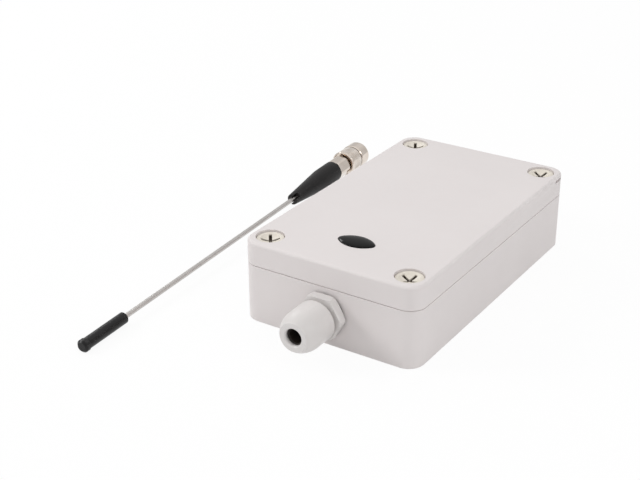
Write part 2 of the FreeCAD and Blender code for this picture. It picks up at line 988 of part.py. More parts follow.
def all_poles():
    """The X positions of every pole on the board."""
    return pole_places(supply_x, supply_poles) + pole_places(output_x, output_poles)


def pole_y():
    """The Y position of the clamp screws."""
    return terminal_y + terminal_screw_setback


def make_terminal(x, poles):
    """A terminal block with a wire entry and a screw hole at each pole."""
    width = poles * terminal_pitch + 2 * terminal_end_wall
    x0, x1 = x - width / 2, x + width / 2
    low = box(x0, x1, terminal_y, terminal_back, board_top, board_top + terminal_shoulder_height)
    high = box(x0, x1, terminal_y + terminal_shoulder_depth, terminal_back,
               board_top, board_top + terminal_height)
    block = fuse_all([low, high])
    entry_z = board_top + entry_floor
    for px in pole_places(x, poles):
        block = block.cut(box(px - entry_width / 2, px + entry_width / 2, terminal_y,
                              terminal_y + entry_depth, entry_z, entry_z + entry_height))
        block = block.cut(rod(px, pole_y(), entry_z, board_top + terminal_height,
                              terminal_hole_radius))
    return block


def make_clamp_cages():
    """The metal wire cages inside the terminal blocks."""
    z0 = board_top + entry_floor + cage_clearance
    z1 = board_top + entry_floor + entry_height - cage_clearance
    half = entry_width / 2 - cage_clearance
    y0 = pole_y() - cage_depth / 2
    y1 = pole_y() + cage_depth / 2
    cages = []
    for px in all_poles():
        cage = box(px - half, px + half, y0, y1, z0, z1)
        cages.append(cage.cut(box(px - half + cage_wall, px + half - cage_wall, y0, y1,
                                  z0 + cage_wall, z1 - cage_wall)))
    return Part.makeCompound(cages)


def make_terminal_screws():
    """The clamp screws of both terminal blocks, one on each wire cage."""
    z0 = board_top + entry_floor + entry_height - cage_clearance
    z1 = board_top + terminal_height - terminal_screw_sink
    radius = terminal_hole_radius - terminal_screw_clearance
    screws = []
    for px in all_poles():
        screw = rod(px, pole_y(), z0, z1, radius)
        slot = centred_box(px, pole_y(), 2 * radius, terminal_slot_width,
                           z1 - terminal_slot_depth, terminal_slot_depth)
        screws.append(screw.cut(slot))
    return Part.makeCompound(screws)


def make_relay():
    """The relay's moulded case."""
    top = board_top + relay_height
    case = centred_box(output_x, relay_y, relay_width, relay_length, board_top, relay_height)
    uprights = [e for e in case.Edges if abs(e.BoundBox.ZLength - relay_height) < same_place]
    return case.makeChamfer(relay_edge_chamfer, uprights + edges_at_height(case, top))


def fuse_bar(x0, x1, radius):
    """A round bar along X on the fuse's axis."""
    return Part.makeCylinder(radius, x1 - x0, Vector(x0, fuse_y, fuse_z), X_AXIS)


def make_fuse_tube():
    """The fuse's glass tube between its metal caps."""
    half = fuse_length / 2 - fuse_cap_length
    return fuse_bar(supply_x - half, supply_x + half, fuse_radius - fuse_cap_step)


def make_fuse_caps():
    """The fuse's two metal end caps."""
    caps = []
    for side in (-1, 1):
        ends = sorted([supply_x + side * fuse_length / 2,
                       supply_x + side * (fuse_length / 2 - fuse_cap_length)])
        caps.append(fuse_bar(ends[0], ends[1], fuse_radius))
    return Part.makeCompound(caps)


def make_fuse_clips():
    """The two U-shaped clips that hold the fuse by its caps."""
    clips = []
    inner = fuse_radius + clip_clearance
    outer = inner + clip_wall
    for side in (-1, 1):
        x = supply_x + side * (fuse_length / 2 - fuse_cap_length / 2)
        x0, x1 = x - clip_width / 2, x + clip_width / 2
        block = box(x0, x1, fuse_y - outer, fuse_y + outer, board_top, fuse_z + clip_rise)
        above = box(x0, x1, fuse_y - inner, fuse_y + inner, fuse_z - inner, fuse_z + clip_rise)
        below = box(x0, x1, fuse_y - inner, fuse_y + inner, board_top, fuse_z - outer)
        clips.append(block.cut(above).cut(below))
    return Part.makeCompound(clips)


def upright_leads(places, height):
    """Square leads from the board up into a component's underside."""
    return [centred_box(x, y, lead_width, lead_width, board_top, height) for x, y in places]


def make_varistor():
    """The disc varistor, standing on two leads."""
    centre_z = board_top + varistor_lead + varistor_radius
    disc = Part.makeCylinder(
        varistor_radius, varistor_thickness,
        Vector(varistor_x - varistor_thickness / 2, varistor_y, centre_z), X_AXIS,
    )
    places = [(varistor_x, varistor_y + side * varistor_lead_pitch / 2) for side in (-1, 1)]
    return fuse_all([disc] + upright_leads(places, varistor_lead + varistor_radius))


def make_capacitor():
    """The smoothing capacitor's can."""
    return rod(capacitor_x, capacitor_y, board_top, board_top + capacitor_height, capacitor_radius)


def make_rectifier():
    """The flat bridge rectifier with its marked corner, on four leads in a row."""
    z0 = board_top + rectifier_lead
    body = centred_box(rectifier_x, rectifier_y, rectifier_length, rectifier_thickness, z0,
                       rectifier_height)
    corner_x = rectifier_x + rectifier_length / 2
    corner = [
        e for e in body.Edges
        if abs(e.BoundBox.XMin - corner_x) < same_place and abs(e.BoundBox.ZMin - z0) > same_place
        and e.BoundBox.YLength > same_place
    ]
    body = body.makeChamfer(rectifier_corner, corner)
    places = [
        (rectifier_x + (i - (rectifier_leads - 1) / 2) * rectifier_lead_pitch, rectifier_y)
        for i in range(rectifier_leads)
    ]
    return fuse_all([body] + upright_leads(places, rectifier_lead))


def make_regulator():
    """The voltage regulator: moulded body, metal tab with its hole, and three leads."""
    z0 = board_top + regulator_lead
    tab = centred_box(regulator_x, regulator_y, regulator_width, regulator_tab_thickness,
                      z0, regulator_tab_height)
    hole_z = z0 + (regulator_body_height + regulator_tab_height) / 2
    hole = Part.makeCylinder(
        regulator_tab_hole_radius, 2 * regulator_tab_thickness,
        Vector(regulator_x, regulator_y - regulator_tab_thickness, hole_z), Y_AXIS,
    )
    body_y = regulator_y - regulator_tab_thickness / 2 - regulator_body_depth / 2
    body = centred_box(regulator_x, body_y, regulator_width, regulator_body_depth, z0,
                       regulator_body_height)
    places = [(regulator_x + i * lead_spacing, body_y) for i in (-1, 0, 1)]
    return fuse_all([tab.cut(hole), body] + upright_leads(places, regulator_lead))


def make_chip_socket():
    """The open frame that holds the controller chip."""
    frame = centred_box(chip_x, chip_y, chip_length, chip_socket_width, board_top,
                        chip_socket_height)
    opening = centred_box(chip_x, chip_y, chip_length - 2 * chip_socket_rail,
                          chip_socket_width - 2 * chip_socket_rail, board_top,
                          chip_socket_height)
    frame = frame.cut(opening)
    bar = centred_box(chip_x, chip_y, chip_socket_rail, chip_socket_width, board_top,
                      chip_socket_height / 2)
    return fuse_all([frame, bar])


def make_chip():
    """The controller chip with its end notch and a row of pins along each side."""
    z0 = board_top + chip_socket_height
    body = centred_box(chip_x, chip_y, chip_length, chip_body_width, z0, chip_height)
    notch = rod(chip_x - chip_length / 2, chip_y, z0 + chip_height / 2, z0 + chip_height,
                chip_notch_radius)
    shapes = [body.cut(notch)]
    first = chip_x - (chip_pins_per_side - 1) * lead_spacing / 2
    for i in range(chip_pins_per_side):
        x = first + i * lead_spacing
        shapes.append(centred_box(x, chip_y, chip_pin_width,
                                  chip_body_width + 2 * chip_pin_width, z0, chip_height / 2))
    return fuse_all(shapes)


def make_resistors():
    """A row of axial resistors with their leads bent down to the board."""
    parts = []
    z = board_top + resistor_radius
    half = resistor_length / 2
    for i in range(resistor_count):
        y = resistor_middle + (i - (resistor_count - 1) / 2) * resistor_pitch
        body = Part.makeCylinder(resistor_radius, resistor_length,
                                 Vector(resistor_x - half, y, z), X_AXIS)
        parts.append(fuse_all([body] + bent_leads(y, resistor_span, half, resistor_x, z)))
    return Part.makeCompound(parts)


def bent_leads(y, span, half, x, z):
    """Square leads out of both ends of a body along X, turned down to the board."""
    leads = []
    for side in (-1, 1):
        end = x + side * span / 2
        near, far = sorted([x + side * half, end])
        leads.append(box(near, far, y - lead_width / 2, y + lead_width / 2,
                         z - lead_width / 2, z + lead_width / 2))
        near, far = sorted([end, end - side * lead_width])
        leads.append(box(near, far, y - lead_width / 2, y + lead_width / 2,
                         board_top, z + lead_width / 2))
    return leads


def make_film_capacitors():
    """Small box-shaped film capacitors."""
    parts = []
    for i in range(film_count):
        block = centred_box(film_x + i * film_pitch, film_y, film_length, film_thickness,
                            board_top, film_height)
        tops = edges_at_height(block, board_top + film_height)
        parts.append(block.makeChamfer(film_edge, tops))
    return Part.makeCompound(parts)


def make_transistor():
    """The relay's driver transistor: a round body with one flat, on three leads."""
    z0 = board_top + transistor_lead
    body = rod(transistor_x, transistor_y, z0, z0 + transistor_height, transistor_radius)
    flat = box(transistor_x - transistor_radius, transistor_x + transistor_radius,
               transistor_y - transistor_radius, transistor_y - transistor_flat,
               z0, z0 + transistor_height)
    places = [(transistor_x + i * transistor_lead_pitch, transistor_y) for i in (-1, 0, 1)]
    return fuse_all([body.cut(flat)] + upright_leads(places, transistor_lead))


def make_diode():
    """The diode across the relay's coil."""
    z = board_top + diode_radius
    half = diode_length / 2
    body = Part.makeCylinder(diode_radius, diode_length,
                             Vector(diode_x - half, diode_y, z), X_AXIS)
    return fuse_all([body] + bent_leads(diode_y, diode_span, half, diode_x, z))


def make_button_case():
    """The learn button's case, open in the middle for its plunger."""
    top = board_top + button_case_height
    case = centred_box(button_x, button_y, button_width, button_width, board_top,
                       button_case_height)
    uprights = [e for e in case.Edges if abs(e.BoundBox.ZLength - button_case_height) < same_place]
    case = case.makeFillet(button_case_radius, uprights)
    well = rod(button_x, button_y, board_top + button_floor, top,
               button_plunger_radius + button_plunger_clearance)
    return case.cut(well)


def make_button_plunger():
    """The learn button's plunger, held its travel above the floor of its well."""
    foot = board_top + button_floor + button_travel + button_stop_gap
    return rod(button_x, button_y, foot, board_top + button_plunger_height, button_plunger_radius)


def make_light():
    """The status light: a flanged lens with a bevelled top."""
    top = board_top + light_height
    lens = turned([
        (0, board_top),
        (light_flange_radius, board_top),
        (light_flange_radius, board_top + light_flange_height),
        (light_radius, board_top + light_flange_height),
        (light_radius, top - light_bevel),
        (light_radius - light_bevel, top),
        (0, top),
    ])
    lens.translate(Vector(light_x, light_y, 0))
    return lens


def make_module_board():
    """The radio module's own small board."""
    return centred_box(module_x, module_y, module_length, module_width, module_bottom,
                       module_thickness)


def strip_y(side):
    """The Y position of a pin strip under the module's front or rear edge."""
    return module_y + side * (module_width / 2 - strip_edge_gap - strip_width / 2)


def make_pin_strips():
    """The two pin strips that carry the module."""
    strips = []
    for side, pins in ((-1, strip_pins), (1, strip_end_pins)):
        length = pins * lead_spacing
        x0 = module_x - module_length / 2 + strip_edge_gap
        y = strip_y(side)
        strips.append(box(x0, x0 + length, y - strip_width / 2, y + strip_width / 2,
                          board_top, module_bottom))
    return Part.makeCompound(strips)


def make_shield():
    """The metal can over the module's radio parts, open underneath, with a tuning hole."""
    x = module_x + shield_x
    top = module_top + shield_height
    half_x, half_y = shield_length / 2, shield_width / 2
    outer = prism([
        (x - half_x, module_y - half_y, shield_corner_radius),
        (x + half_x, module_y - half_y, shield_corner_radius),
        (x + half_x, module_y + half_y, shield_corner_radius),
        (x - half_x, module_y + half_y, shield_corner_radius),
    ], module_top, top)
    inner = centred_box(x, module_y, shield_length - 2 * shield_wall,
                        shield_width - 2 * shield_wall, module_top, shield_height - shield_wall)
    hole = rod(x + half_x / 2, module_y, top - 2 * shield_wall, top, shield_hole_radius)
    return outer.cut(inner).cut(hole)


def make_coil():
    """The tuning coil's square can with its slotted core."""
    x = module_x + coil_x
    top = module_top + coil_height
    can = centred_box(x, module_y, coil_size, coil_size, module_top, coil_height)
    return can.cut(rod(x, module_y, top - coil_core_depth, top, coil_core_radius))


def make_crystal():
    """The crystal's flat oval can, lying on the module."""
    x = module_x + crystal_x
    half_x, half_y = crystal_width / 2, crystal_length / 2
    radius = crystal_end_radius
    return prism([
        (x - half_x, module_y - half_y, radius),
        (x + half_x, module_y - half_y, radius),
        (x + half_x, module_y + half_y, radius),
        (x - half_x, module_y + half_y, radius),
    ], module_top, module_top + crystal_height)


def make_lead():
    """The screened lead, straight from the socket's tail to its place on the radio module."""
    tail = half_length + socket_rear() - socket_contact_tail
    end = module_y + module_width / 2 - lead_on_module
    return Part.makeCylinder(lead_radius, tail - end, Vector(0, end, socket_height), Y_AXIS)


def make_lead_clamp():
    """The soldered strap that holds the lead's end down on the module."""
    inner = lead_radius + clamp_clearance
    outer = inner + clamp_wall
    y1 = module_y + module_width / 2 - clamp_from_edge
    y0 = y1 - clamp_width
    hoop = Part.makeCylinder(outer, clamp_width, Vector(0, y0, socket_height), Y_AXIS)
    hoop = hoop.common(box(-outer, outer, y0, y1, socket_height, socket_height + outer))
    legs = box(-outer, outer, y0, y1, module_top, socket_height)
    feet = box(-outer - clamp_foot, outer + clamp_foot, y0, y1, module_top,
               module_top + clamp_wall)
    strap = fuse_all([hoop, legs, feet])
    hollow = Part.makeCylinder(inner, clamp_width, Vector(0, y0, socket_height), Y_AXIS)
    hollow = hollow.fuse(box(-inner, inner, y0, y1, module_top, socket_height))
    return strap.cut(hollow)


def antenna_place(shape):
    """Lay a piece built along Z from the plug's open end beside the enclosure.

    The antenna rests on the edge of the nut's tail and on its tip, so its axis drops to the tip.
    """
    tail_at = nut_length() - nut_ring_bevel
    tip_at = antenna_length - cap_tip_chamfer
    tilt = math.atan2(nut_tail_radius - cap_tip_radius, tip_at - tail_at)
    heading = math.radians(antenna_heading)
    direction = Vector(
        math.sin(heading) * math.cos(tilt), -math.cos(heading) * math.cos(tilt), -math.sin(tilt)
    )
    start_z = nut_tail_radius * math.cos(tilt) + tail_at * math.sin(tilt)
    start = Vector(-half_width - antenna_side_gap, half_length + antenna_rear_offset, start_z)
    lay = FreeCAD.Placement(start, FreeCAD.Rotation(Z_AXIS, direction))
    placed = shape.copy()
    placed.Placement = lay.multiply(placed.Placement)
    return placed


def nut_length():
    """The coupling nut's whole length."""
    return nut_ring_length + nut_groove_length + nut_barrel_length + nut_tail_length


def make_plug_nut():
    """The plug's bayonet nut: bevelled ring, groove, grip barrel, tail and inner cam track."""
    groove = nut_ring_length
    barrel = groove + nut_groove_length
    tail = barrel + nut_barrel_length
    end = nut_length()
    nut = turned([
        (nut_bore_radius, 0),
        (nut_ring_radius - nut_nose_drop, 0),
        (nut_ring_radius, nut_nose_length),
        (nut_ring_radius, groove - nut_ring_bevel),
        (nut_groove_radius, groove),
        (nut_groove_radius, barrel),
        (nut_barrel_radius, barrel),
        (nut_barrel_radius, tail),
        (nut_tail_radius, tail),
        (nut_tail_radius, end - nut_ring_bevel),
        (nut_tail_radius - nut_ring_bevel, end),
        (nut_mouth_radius, end),
        (nut_mouth_radius, end - nut_mouth_depth),
        (nut_lip_radius, end - nut_mouth_depth),
        (nut_lip_radius, end - nut_lip_length),
        (nut_bore_radius, end - nut_lip_length),
    ])
    entry = centred_box(0, 0, 2 * cam_slot_radius, cam_slot_width, 0,
                        cam_track_start + cam_track_length)
    nut = nut.cut(entry.common(rod(0, 0, 0, end, cam_slot_radius)))
    for i in range(cam_track_count):
        track = Part.makeCylinder(
            cam_slot_radius, cam_track_length, Vector(0, 0, cam_track_start), Z_AXIS, cam_track_turn
        )
        track.rotate(Vector(0, 0, 0), Z_AXIS, i * 360 / cam_track_count)
        nut = nut.cut(track)
    return antenna_place(nut)


def hex_start():
    """Where the plug body's hexagon begins, behind the nut and the neck."""
    return nut_length() + plug_neck_length


def make_plug_body():
    """The plug's body: slit contact sleeve, core through the nut, neck and rear hexagon."""
    neck = nut_length() + plug_neck_gap
    start = hex_start()
    end = start + plug_hex_length
    hexagon = hex_prism(plug_hex_flats, start, end).common(
        corner_cut(plug_hex_corner_radius, plug_hex_bevel, start, end)
    )
    body = fuse_all([
        rod(0, 0, plug_sleeve_start, plug_core_start, plug_sleeve_radius),
        rod(0, 0, plug_core_start, neck, plug_core_radius),
        rod(0, 0, neck, start, plug_neck_radius),
        hexagon,
    ])
    body = body.cut(rod(0, 0, plug_sleeve_start, end - plug_web, plug_sleeve_bore))
    body = body.cut(rod(0, 0, end - plug_web, end, rod_radius + rod_fit))
    for i in range(plug_slit_count // 2):
        slit = centred_box(0, 0, 2 * plug_sleeve_radius, plug_slit_width, plug_sleeve_start,
                           plug_slit_length)
        slit.rotate(Vector(0, 0, 0), Z_AXIS, i * 360 / plug_slit_count)
        body = body.cut(slit)
    return antenna_place(body)


def make_plug_gasket():
    """The rubber ring that seals the plug against the socket's barrel."""
    start = plug_gasket_start
    inner = plug_sleeve_radius + plug_gasket_clearance
    outer = nut_bore_radius - plug_gasket_bore_clearance
    return antenna_place(tube(0, 0, start, start + plug_gasket_length, outer, inner))


def make_plug_insulator():
    """The plug's insulator, from inside the contact sleeve to the web."""
    end = hex_start() + plug_hex_length - plug_web
    outer = plug_sleeve_bore - rod_fit
    return antenna_place(tube(0, 0, insulator_start, end, outer, rod_radius + rod_fit))


def make_plug_pin():
    """The plug's centre pin with its rounded end and thicker crimped root."""
    start = pin_start
    root = rod_start()
    pin = turned([
        (0, start),
        (pin_radius / 2, start),
        (pin_radius, start + pin_radius),
        (pin_radius, insulator_start),
        (rod_radius, insulator_start),
        (rod_radius, root),
        (0, root),
    ])
    return antenna_place(pin)


def rod_start():
    """Where the antenna rod meets the centre pin."""
    return insulator_start + pin_root_length


def make_ferrule():
    """The crimp sleeve behind the hexagon, hidden in the boot."""
    start = hex_start() + plug_hex_length
    return antenna_place(
        tube(0, 0, start, start + ferrule_length, ferrule_radius, rod_radius + rod_fit)
    )


def make_boot():
    """The tapered rubber boot with its forked small end."""
    start = hex_start() + plug_hex_length
    shoulder = start + boot_shoulder
    end = start + boot_length
    pocket = start + ferrule_length
    boot = turned([
        (ferrule_radius + rod_fit, start),
        (boot_radius - boot_edge, start),
        (boot_radius, start + boot_edge),
        (boot_radius, shoulder),
        (boot_tip_radius, end),
        (rod_radius + rod_fit, end),
        (rod_radius + rod_fit, pocket),
        (ferrule_radius + rod_fit, pocket),
    ])
    slit = centred_box(0, 0, 2 * boot_radius, boot_slit_width, end - boot_slit_length,
                       boot_slit_length)
    slit.rotate(Vector(0, 0, 0), Z_AXIS, boot_slit_lean)
    return antenna_place(boot.cut(slit))


def make_rod():
    """The straight antenna rod."""
    end = antenna_length - cap_body_length - cap_tip_length + rod_into_cap
    return antenna_place(rod(0, 0, rod_start(), end, rod_radius))


def make_tip_cap():
    """The sleeve cap on the rod's end, with a slightly wider rounded tip."""
    start = antenna_length - cap_body_length - cap_tip_length
    neck = start + cap_body_length
    bore = start + rod_into_cap
    cap = turned([
        (rod_radius + rod_fit, start),
        (cap_body_radius - cap_body_round, start),
        (cap_body_radius, start + cap_body_round),
        (cap_body_radius, neck),
        (cap_tip_radius, neck + cap_neck_ramp),
        (cap_tip_radius, antenna_length - cap_tip_chamfer),
        (cap_tip_radius - cap_tip_chamfer, antenna_length),
        (0, antenna_length),
        (0, bore),
        (rod_radius + rod_fit, bore),
    ])
    return antenna_place(cap)


nodes = {
    "base_housing": make_base(),
    "lid_shell": make_lid(),
    "lid_gasket": make_gasket(),
    "lid_badge": make_badge(),
    "gland_gasket": make_gland_gasket(),
    "gland_body": make_gland_body(),
    "gland_locknut": make_gland_locknut(),
    "gland_seal": make_gland_seal(),
    "gland_cap_nut": make_gland_cap(),
    "socket_body": make_socket_body(),
    "socket_insulator": make_socket_insulator(),
    "socket_contact": make_socket_contact(),
    "socket_ground_tag": make_socket_tag(),
    "socket_nut": make_socket_nut(),
    "antenna_lead": make_lead(),
    "lead_clamp": make_lead_clamp(),
    "main_board": make_board(),
    "board_screws": make_board_screws(),
    "supply_terminal": make_terminal(supply_x, supply_poles),
    "output_terminal": make_terminal(output_x, output_poles),
    "wire_cages": make_clamp_cages(),
    "terminal_screws": make_terminal_screws(),
    "relay": make_relay(),
    "fuse_tube": make_fuse_tube(),
    "fuse_caps": make_fuse_caps(),
    "fuse_clips": make_fuse_clips(),
    "varistor": make_varistor(),
    "smoothing_capacitor": make_capacitor(),
    "bridge_rectifier": make_rectifier(),
    "voltage_regulator": make_regulator(),
    "chip_socket": make_chip_socket(),
    "controller_chip": make_chip(),
    "resistors": make_resistors(),
    "film_capacitors": make_film_capacitors(),
    "driver_transistor": make_transistor(),
    "coil_diode": make_diode(),
    "button_case": make_button_case(),
    "button_plunger": make_button_plunger(),
    "status_light": make_light(),
    "module_board": make_module_board(),
    "module_pin_strips": make_pin_strips(),
    "module_shield": make_shield(),
    "tuning_coil": make_coil(),
    "module_crystal": make_crystal(),
    "plug_nut": make_plug_nut(),
    "plug_body": make_plug_body(),
    "plug_gasket": make_plug_gasket(),
    "plug_insulator": make_plug_insulator(),
    "plug_pin": make_plug_pin(),
    "plug_ferrule": make_ferrule(),
    "antenna_boot": make_boot(),
    "antenna_rod": make_rod(),
    "antenna_tip_cap": make_tip_cap(),
}
for corner, side_x, side_y in corner_places():
    nodes["lid_screw_" + corner] = make_lid_screw(corner, side_x, side_y)

os.makedirs("parts", exist_ok=True)
for name, shape in nodes.items():
    shape.exportStep(os.path.join("parts", name + ".step"))
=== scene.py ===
import json
import math

import bmesh
import bpy
from mathutils import Matrix, Vector
from mathutils.bvhtree import BVHTree
from mathutils.geometry import intersect_point_line


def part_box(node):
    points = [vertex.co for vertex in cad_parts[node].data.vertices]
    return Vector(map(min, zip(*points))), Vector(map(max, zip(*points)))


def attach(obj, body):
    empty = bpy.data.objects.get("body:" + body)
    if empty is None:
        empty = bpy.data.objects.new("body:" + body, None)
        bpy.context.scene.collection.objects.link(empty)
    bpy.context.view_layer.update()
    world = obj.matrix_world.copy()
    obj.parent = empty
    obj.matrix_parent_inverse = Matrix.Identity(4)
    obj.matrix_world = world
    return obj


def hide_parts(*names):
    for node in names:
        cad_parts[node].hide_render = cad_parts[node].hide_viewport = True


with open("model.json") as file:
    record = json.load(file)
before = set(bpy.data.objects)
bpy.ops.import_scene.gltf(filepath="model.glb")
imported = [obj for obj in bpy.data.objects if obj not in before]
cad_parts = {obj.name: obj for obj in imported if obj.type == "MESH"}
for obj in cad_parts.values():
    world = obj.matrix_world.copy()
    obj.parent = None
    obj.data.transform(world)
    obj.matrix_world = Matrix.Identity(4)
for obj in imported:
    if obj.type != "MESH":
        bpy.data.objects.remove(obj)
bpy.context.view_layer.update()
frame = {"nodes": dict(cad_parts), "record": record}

MM = 0.001
WHITE = (1.0, 1.0, 1.0, 1.0)


def top_of(node):
    """The height of a node's top, in millimetres."""
    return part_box(node)[1].z / MM


def middle_of(node):
    """The middle of a node's box, in millimetres."""
    low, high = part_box(node)
    return (low + high) / 2 / MM


# Places on the receiver, in millimetres, from the frame
BOARD_TOP = top_of("main_board")
MODULE_TOP = top_of("module_board")
SCREW_HEAD_TOP = top_of("lid_screw_rear_right")
SCREW_MIDDLE = middle_of("lid_screw_rear_right")
BADGE_Y = middle_of("lid_badge").y

# Lid screws, with lengths in millimetres
SCREW_DISH_RADIUS = 4.7
SCREW_DISH_DEPTH = 1.5
SCREW_CROSS_REACH = 4.2
SCREW_CROSS_FLOOR = 34.9
SCREW_CORE_RADIUS = 1.95
SCREW_THREAD_RADIUS = 2.5
SCREW_THREAD_TOP = 27.0
SCREW_THREAD_BOTTOM = 14.3
SCREW_SHOULDER = 0.5
SCREW_PITCH = 1.8
SCREW_ROUND = 0.14

# Oval badge in the lid's shallow seat, with lengths in millimetres
BADGE_LENGTH = 18.4
BADGE_WIDTH = 11.0
BADGE_END_RADIUS = 2.6
BADGE_RIM = 0.45
BADGE_POINTS = 96
BADGE_STEPS = 15

# Antenna: its plug's open end, its direction, and lengths in millimetres from that end
COLLAR_TURN = next(joint for joint in frame["record"]["behaviour"]["joints"]
                   if joint["name"] == "plug_collar_turn")
ANTENNA_START = Vector(COLLAR_TURN["pos_m"]) / MM
ANTENNA_DIRECTION = Vector(COLLAR_TURN["axis"])
NUT_GROOVE = 8.3
GRIP_START = 8.8
GRIP_END = 16.8
GRIP_RADIUS = 6.73
GRIP_RIDGES = 110
GRIP_RIDGE_WIDTH = 0.13

# Solder, printing and chip parts on the boards, with lengths in millimetres
LEAD_PITCH = 2.54
SOLDER_CONE = ((0.95, 0.0), (0.92, 0.06), (0.62, 0.2), (0.44, 0.5), (0.3, 0.55))
SOLDER_SIDES = 12
LEAD_SHARE = 0.8
PIN_SHARE = 0.9
LEAD_SPREAD = 1.1
LEVEL_SLACK = 0.01
OUTLINE_REACH = 0.7
OUTLINE_RISE = 0.02
OUTLINE_WIDTH = 0.22
CHIP_ENDS = (1.7, 0.86, 0.5)
CHIP_BODY = (1.08, 0.9, 0.56)

# Fuse wire, smoothing capacitor and voltage regulator, with lengths in millimetres
FUSE_WIRE_RADIUS = 0.11
FUSE_WIRE_SIDES = 8
FUSE_WIRE_STEPS = 24
FUSE_WIRE_SWAY = 0.3
FUSE_WIRE_SAG = 0.5
FUSE_WIRE_INTO_CAP = 0.5
SLEEVE_LAP = 0.9
SLEEVE_LIP = 0.12
SLEEVE_STEP = 0.3
CAPACITOR_ROUND = 0.08
REGULATOR_LEGS = 3.9
REGULATOR_CASE_HEIGHT = 13.1
REGULATOR_TAB_THICKNESS = 1.35

# Camera, fitted to the photograph, in millimetres and degrees
CAMERA_PLACE = Vector((261.5244, -477.3538, 284.4908))
CAMERA_YAW = -33.33683
CAMERA_PITCH = 25.97939
CAMERA_ROLL = -0.3685
CAMERA_LENS = 71.0666
SENSOR_WIDTH = 36.0

# Studio: levels of light, heights on a sky of radius 1, and the floor in millimetres
WALL_LIGHT = 0.36
WALL_HEIGHT = 0.42
CEILING_LIGHT = 0.88
CEILING_HEIGHT = 0.75
MIRRORED_WHITE = 0.5
FLOOR_GREY = 0.92
FLOOR_WHITE = 0.93
FLOOR_HALF_SIZE = 4000.0
FLOOR_DROP = 0.02


def srgb(red, green, blue):
    """A linear colour from the 0 to 255 levels of a screen."""
    def linear(level):
        share = level / 255
        if share <= 0.04045:
            return share / 12.92
        return ((share + 0.055) / 1.055) ** 2.4
    return (linear(red), linear(green), linear(blue), 1.0)


# Nodes in trees

def give(tree, slot, value):
    """Link an input to a socket, or set it to a plain value."""
    if isinstance(value, bpy.types.NodeSocket):
        tree.links.new(value, slot)
    else:
        slot.default_value = value


def feed(tree, made, *ordered, **named):
    """Give a node its inputs, by order or by name."""
    for slot, value in zip(made.inputs, ordered):
        give(tree, slot, value)
    for name, value in named.items():
        give(tree, made.inputs[name.replace("_", " ")], value)
    return made


def placed(tree, kind, *ordered, **named):
    """A new node in a tree, with its inputs."""
    return feed(tree, tree.nodes.new(kind), *ordered, **named)


def shader_math(tree, operation, *values):
    """The result of a Math node."""
    made = placed(tree, "ShaderNodeMath", *values)
    made.operation = operation
    return made.outputs[0]


def blend_colours(tree, share, first, second):
    """A mix of two colours, each of them a socket or a plain colour."""
    made = tree.nodes.new("ShaderNodeMix")
    made.data_type = "RGBA"
    feed(tree, made, Factor=share)
    colours = [slot for slot in made.inputs if slot.type == "RGBA"]
    for slot, value in zip(colours, (first, second)):
        give(tree, slot, value)
    return next(slot for slot in made.outputs if slot.type == "RGBA")


def spread(tree, value, low, high, to_low=0.0, to_high=1.0):
    """A value moved from one range to another, held at the ends."""
    return placed(tree, "ShaderNodeMapRange", value, low, high, to_low, to_high).outputs[0]


def place_on_piece(tree):
    """The point on the piece, in metres in the receiver's frame."""
    return tree.nodes.new("ShaderNodeTexCoord").outputs["Object"]


def axes_on_piece(tree):
    """The point on the piece as its X, Y and Z."""
    return placed(tree, "ShaderNodeSeparateXYZ", place_on_piece(tree)).outputs


def away_from(tree, value, middle):
    """How far a value is from a middle."""
    return shader_math(tree, "ABSOLUTE", shader_math(tree, "SUBTRACT", value, middle))


def effect_group(name, inputs, outputs):
    """A shader group with named inputs at their usual values, and named outputs."""
    group = bpy.data.node_groups.new(name, "ShaderNodeTree")
    for label, value in inputs.items():
        socket = group.interface.new_socket(label, in_out="INPUT", socket_type="NodeSocketFloat")
        socket.default_value = value
    for label, kind in outputs.items():
        group.interface.new_socket(label, in_out="OUTPUT", socket_type="NodeSocket" + kind)
    given = group.nodes.new("NodeGroupInput")
    return group, given.outputs, group.nodes.new("NodeGroupOutput")


def make_surface_grain():
    """Fine relief of a moulded or worked skin, and a slow drift of its tone."""
    group, given, result = effect_group(
        "surface grain",
        {"Grain Scale": 2500.0, "Grain Height": 0.01 * MM, "Drift Scale": 40.0},
        {"Tone": "Float", "Normal": "Vector"},
    )
    where = place_on_piece(group)
    grain = placed(group, "ShaderNodeTexNoise", Vector=where, Scale=given["Grain Scale"],
                   Detail=3.0, Roughness=0.6)
    drift = placed(group, "ShaderNodeTexNoise", Vector=where, Scale=given["Drift Scale"],
                   Detail=4.0, Roughness=0.55)
    bump = placed(group, "ShaderNodeBump", Strength=1.0, Distance=given["Grain Height"],
                  Height=grain.outputs[0])
    tone = spread(group, drift.outputs[0], low=0.32, high=0.68)
    feed(group, result, Tone=tone, Normal=bump.outputs[0])
    return group


def bend_between(group, given):
    """How far the surface's bend has come from the group's start to its end."""
    bend = group.nodes.new("ShaderNodeNewGeometry").outputs["Pointiness"]
    return spread(group, bend, given["Start"], given["End"])


def make_rubbed_edges():
    """A mask of the outer edges, broken up where hands and tools rub them."""
    group, given, result = effect_group(
        "rubbed edges", {"Start": 0.52, "End": 0.62}, {"Mask": "Float"})
    patches = placed(group, "ShaderNodeTexNoise", Vector=place_on_piece(group), Scale=220.0,
                     Detail=3.0)
    broken = spread(group, patches.outputs[0], low=0.35, high=0.6, to_low=0.25)
    feed(group, result, Mask=shader_math(group, "MULTIPLY", bend_between(group, given), broken))
    return group


def make_settled_shade():
    """A mask of the inner corners, where painted shade is put."""
    group, given, result = effect_group(
        "settled shade", {"Start": 0.48, "End": 0.4}, {"Mask": "Float"})
    feed(group, result, Mask=bend_between(group, given))
    return group


SURFACE_GRAIN = make_surface_grain()
RUBBED_EDGES = make_rubbed_edges()
SETTLED_SHADE = make_settled_shade()


